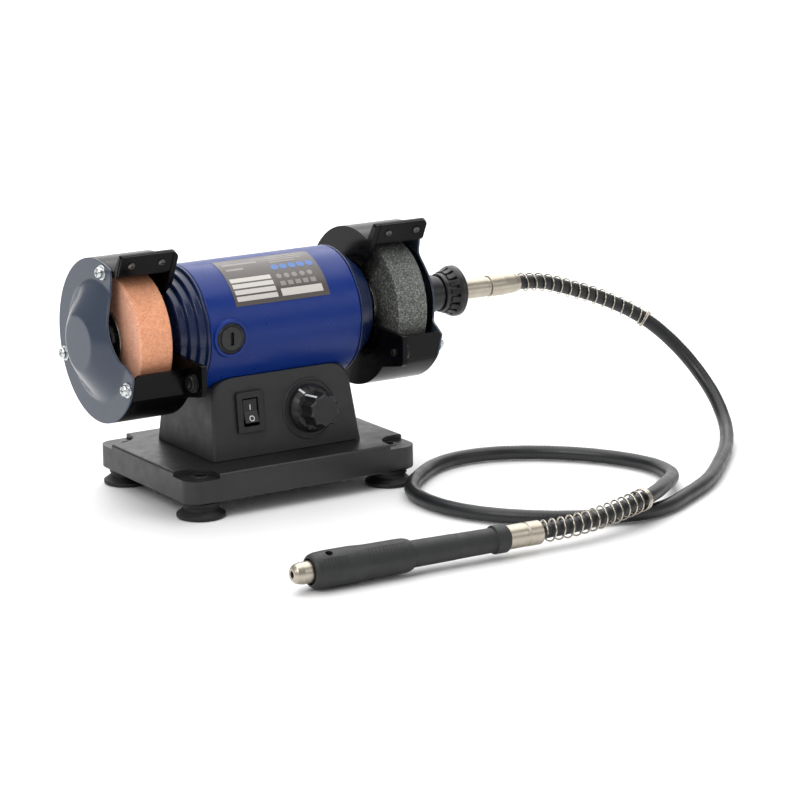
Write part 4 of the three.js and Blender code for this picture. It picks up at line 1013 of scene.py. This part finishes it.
def add_rest_bolts():
    bolt = lathe([(61.1, 0), (61.1, 1.9, 0.2), (61.6, 2.3, 0.3), (70.7, 2.3), (71.1, 1.8), (71.1, 0)], SMALL)
    nut = lathe([
        (66.6, 2.6), (66.6, 5, 0.25), (67.5, 5, 0.25), (67.5, 3.4), (67.9, 3.4), (67.9, 5, 0.25),
        (68.8, 5, 0.25), (68.8, 4.2), (70.4, 4.2, 0.3), (70.4, 2.6),
    ], 96, closed=True)
    for side, sign in SIDES:
        place = on_side(sign, at(0, *TAB_BOLT))
        piece(f"rest_bolt_{side}", bolt, "dark_steel", f"tool_rest_bolt_{side}", place, 50)
        piece(f"rest_nut_{side}", nut, "dark_steel", f"tool_rest_nut_{side}", place, 50)


# Drive end: collar, nut and ferrule, then the cord's tube and springs, then the handpiece.
def add_coupling():
    collar = lathe([
        (107.7, 5.6), (107.7, 11, 0.4), (110.6, 11, 0.2), (110.6, 8), (112.2, 8), (112.2, 11, 0.7),
        (120.3, 11, 0.5), (120.9, 10.1, 0.2), (123.4, 10.1, 0.3), (123.4, 8.6),
        *[(123.4 + 0.5 * k, 9 - 0.45 * (k % 2)) for k in range(1, 18)], (132.5, 8.4), (132.5, 5.6),
    ], FINE, closed=True)
    piece("threaded_collar", collar, "black", "output_collar", ON_AXIS, 50)

    body = mesh_of(lathe([
        (123.8, 9.4), (123.8, 11.2, 0.4), (124.6, 11.5, 0.3), (129.4, 11.6), (130.8, 12.0, 0.6),
        (131.5, 14.3, 0.6), (133.2, 15.05, 0.5), (135.8, 15.1, 0.7), (137.3, 13.4, 0.6), (137.3, 6.9),
        (133.2, 6.9), (133.2, 9.4),
    ], FINE, closed=True))
    # A rib's outline is (along, out), and it is turned to stand along +X and out towards +Y.
    outline = [(126.4, 10.6), (132.4, 10.6), (132.4, 14.5), (131.2, 14.0, 1), (129.2, 12.9, 3),
               (126.8, 12.3, 0.8)]
    rib = standing(prism([rounded(outline, closed=True)], -1.75, 1.75, edge=0.4))
    count = 16
    ribs = [rib.copy() for _ in range(count)]
    for k, copy in enumerate(ribs):
        copy.transform(Matrix.Rotation(2 * pi * (k + 0.5) / count, 4, "X"))
    nut = combined(body, ribs, "UNION")
    piece("ribbed_nut", nut, "black", "coupling_nut", ON_AXIS, 50, "coupling")

    ferrule = lathe([
        (0, 4.25), (0, 6.1), (23.8, 6.1, 0.3), (24.2, 5.5, 0.15), (26.0, 5.5, 0.15), (26.4, 6.4, 0.35),
        (36, 6.4, 4), (44, 5.9, 3), (47.7, 5.1, 0.4), (48.1, 4.25),
    ], FINE, closed=True)
    ferrule_at = ON_AXIS @ at(133.2) @ Matrix.Rotation(radians(0.6), 4, "Y")
    piece("nickel_ferrule", ferrule, "nickel", "drive_ferrule", ferrule_at, 50)


TUBE_R = 4.1
TIP = 148.3


def coil(route, length, start, end, radius, wire, pitch, closed):
    """A wire wound round the route from one length along it to another, with closed turns at its far end."""
    close = closed * 2.2 * wire
    open_turns = (abs(end - start) - close) / pitch
    turns = open_turns + closed
    open_share = 1 - close / abs(end - start)
    path = []
    for i in range(round(turns * 28) + 1):
        turn = turns * i / round(turns * 28)
        share = open_share * min(turn, open_turns) / open_turns
        share += (1 - open_share) * max(turn - open_turns, 0) / closed
        place = (start + (end - start) * share) / length * (len(route) - 1)
        k = min(int(place), len(route) - 2)
        here = route[k].lerp(route[k + 1], place - k)
        low, high = max(k - 2, 0), min(k + 3, len(route) - 1)
        tangent = (route[high] - route[low]).normalized()
        across = Vector((0, 0, 1)).cross(tangent).normalized()
        up = tangent.cross(across)
        a = 2 * pi * turn
        path.append(here + radius * (cos(a) * across + sin(a) * up))
    return path


def add_cord():
    route, length = smooth_route(ROUTE, 0.8)
    # Faint rings, as an outer sheath drawn over a wound core shows.
    sheath = tube(route, TUBE_R, 28, lambda i: TUBE_R + 0.05 * sin(i * 2.1) + 0.03 * sin(i * 0.37))
    hose = piece("flexible_tube", sheath, "hose", "flex_tube", sharp=80)
    windings = [
        ("drive_end_spring", "drive_spring", (0.9, 91.9), 5.15, 0.45, 6.4),
        ("tool_end_spring", "handpiece_spring", (length - 0.9, length - 76.9), 5.8, 0.5, 5.6),
    ]
    for name, node, (start, end), radius, wire, pitch in windings:
        path = coil(route, length, start, end, radius, wire, pitch, 2.5)
        piece(name, tube(path, wire, 14), "spring", node, sharp=80)
    path = [MACHINE @ p for p in route]


def add_handpiece():
    place = at(54.2, -204, 9.9) @ Matrix.Rotation(radians(177.2), 4, "Z")
    ferrule = lathe([
        (0, 4.25), (0, 6.0, 0.3), (0.8, 6.5, 0.4), (8.6, 6.5, 0.15), (8.9, 6.1, 0.1), (9.9, 6.1, 0.1),
        (10.2, 6.5, 0.15), (20.8, 6.5, 0.3), (20.8, 4.25),
    ], FINE, closed=True)
    piece("tool_ferrule", ferrule, "nickel", "handpiece_ferrule", place, 50)

    body = lathe([
        (21.1, 4.6), (21.1, 7.0), (22.2, 7.7, 0.8), (29.0, 7.7, 0.5), (29.7, 6.5, 0.2), (30.5, 6.5, 0.2),
        (31.3, 6.65, 0.4), (52, 6.85, 0.4), (52.3, 6.6, 0.1), (52.8, 6.6, 0.1), (53.1, 6.95, 0.2),
        (79.7, 7.2, 0.3), (79.7, 4.6),
    ], FINE, closed=True)
    piece("handpiece_shell", body, "grip", "handpiece_body", place, 50)

    # The grip swells towards the tool, with two sets of three panels of fine rings between smooth bands.
    swell = [(83, 9.1), (86, 9.25), (106, 9.3), (114, 9.8), (128, 9.8), (134, 9.5)]
    panels = ((84, 109, radians(36)), (119, 134, radians(20)))
    half_panel, third = radians(30), 2 * pi / 3

    def skin(x):
        (x0, r0), (x1, r1) = next(pair for pair in zip(swell, swell[1:]) if x < pair[1][0])
        return r0 + (r1 - r0) * (x - x0) / (x1 - x0)

    def ringed(x, r, a):
        for first, last, middle in panels:
            off = abs((a - middle + third / 2) % third - third / 2)
            if r > 8 and first < x < last and off < half_panel:
                share = min(1, (x - first) / 1.5, (last - x) / 1.5, (half_panel - off) * 12)
                return r - 0.32 * share * (0.5 - 0.5 * cos(2 * pi * (x - first) / 2.1))
        return r

    rows = [(80, 4.6), (80, 8.2, 0.3), (81, 8.6, 0.4), (83, 9.1, 1.0)]
    rows += [(83.5 + 0.35 * k, skin(83.5 + 0.35 * k)) for k in range(145)]
    rows += [(134.6, 9.45), (136.6, 8.95, 1.0), (137.9, 8.1, 0.5), (138.2, 7.4, 0.2), (138.1, 6.9, 0.2)]
    rows += [(135.8, 6.6), (135.8, 4.6)]
    grip = mesh_of(lathe(rows, 180, closed=True, radius_at=ringed))
    hole_at = at(128.3) @ Matrix.Rotation(radians(72), 4, "X") @ Matrix.Rotation(pi / 2, 4, "Z")
    hole = mesh_of(moved(lathe([(6, 0), (6, 2.0), (13, 2.0), (13, 0)], 32), hole_at))
    piece("handpiece_grip_sleeve", combined(grip, [hole]), "grip", "handpiece_grip", place, 35)

    spindle = lathe([
        (60, 0), (60, 2.9), (136.4, 2.9), (136.4, 5.8, 0.3), (143.4, 5.8, 1.0), (146.6, 5.0, 1.4),
        (TIP, 3.4, 0.8), (TIP, 1.9, 0.3), (TIP - 14, 1.7), (TIP - 14, 0),
    ], FINE)
    piece("chuck_nose", spindle, "nickel", "collet_spindle", place, 40, "collet")


def dress_inside():
    """Materials for the CAD parts that stay as they are, all of them inside."""
    looks = {
        "armature": "core", "field_stator": "core", "commutator": "copper", "cooling_fan": "black",
        "control_board": "board", "speed_potentiometer": "steel", "bearing_left": "steel",
        "bearing_right": "steel", "carbon_brush_front": "carbon", "carbon_brush_rear": "carbon",
    }
    for node, look in looks.items():
        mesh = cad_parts[node].data
        mesh.materials.clear()
        mesh.materials.append(LOOK[look])


# Studio.
def add_floor():
    n = Nodes("studio_white")
    n.use(Base_Color=(0.92, 0.92, 0.92, 1), Roughness=n.span(n.noise(60, 3), 0.55, 0.65))
    bpy.ops.mesh.primitive_plane_add(size=14, location=(0, 0, -0.0004))
    floor = bpy.context.object
    floor.name = "floor"
    floor.data.materials.append(n.material)


def add_light(name, place, target, width, height, power):
    data = bpy.data.lights.new(name, "AREA")
    data.shape = "RECTANGLE"
    data.size = width
    data.size_y = height
    data.energy = power
    light = bpy.data.objects.new(name, data)
    turn = (Vector(target) - Vector(place)).to_track_quat("-Z", "Y").to_matrix().to_4x4()
    light.matrix_world = Matrix.Translation(place) @ turn
    bpy.context.scene.collection.objects.link(light)


def add_lights():
    middle = (0, -0.05, 0.06)
    add_light("overhead", (0.5, 0.9, 2.1), (0.35, 0.5, 0), 3.2, 3.6, 85)
    add_light("backdrop", (1.25, 1.95, 0.95), (0, 0, 0.3), 4, 1.7, 22)
    add_light("key", (-1.3, -0.7, 1.3), middle, 0.9, 0.9, 14)
    add_light("fill", (0.9, -1.6, 0.9), middle, 0.8, 0.8, 3)
    world = bpy.data.worlds.new("studio")
    world.use_nodes = True
    background = world.node_tree.nodes["Background"]
    background.inputs["Color"].default_value = (1, 1, 1, 1)
    background.inputs["Strength"].default_value = 0.36
    bpy.context.scene.world = world


for add in (
    add_base, add_feet, add_pedestal, add_switch, add_knob, add_gland, add_barrel, add_end_bells,
    add_rating_plate, add_rotor, add_guards, add_covers, add_rest_bolts, add_coupling, add_cord,
    add_handpiece, dress_inside, add_floor, add_lights, add_camera,
):
    add()
bpy.context.scene.view_settings.view_transform = "Standard"

bpy.context.view_layer.update()
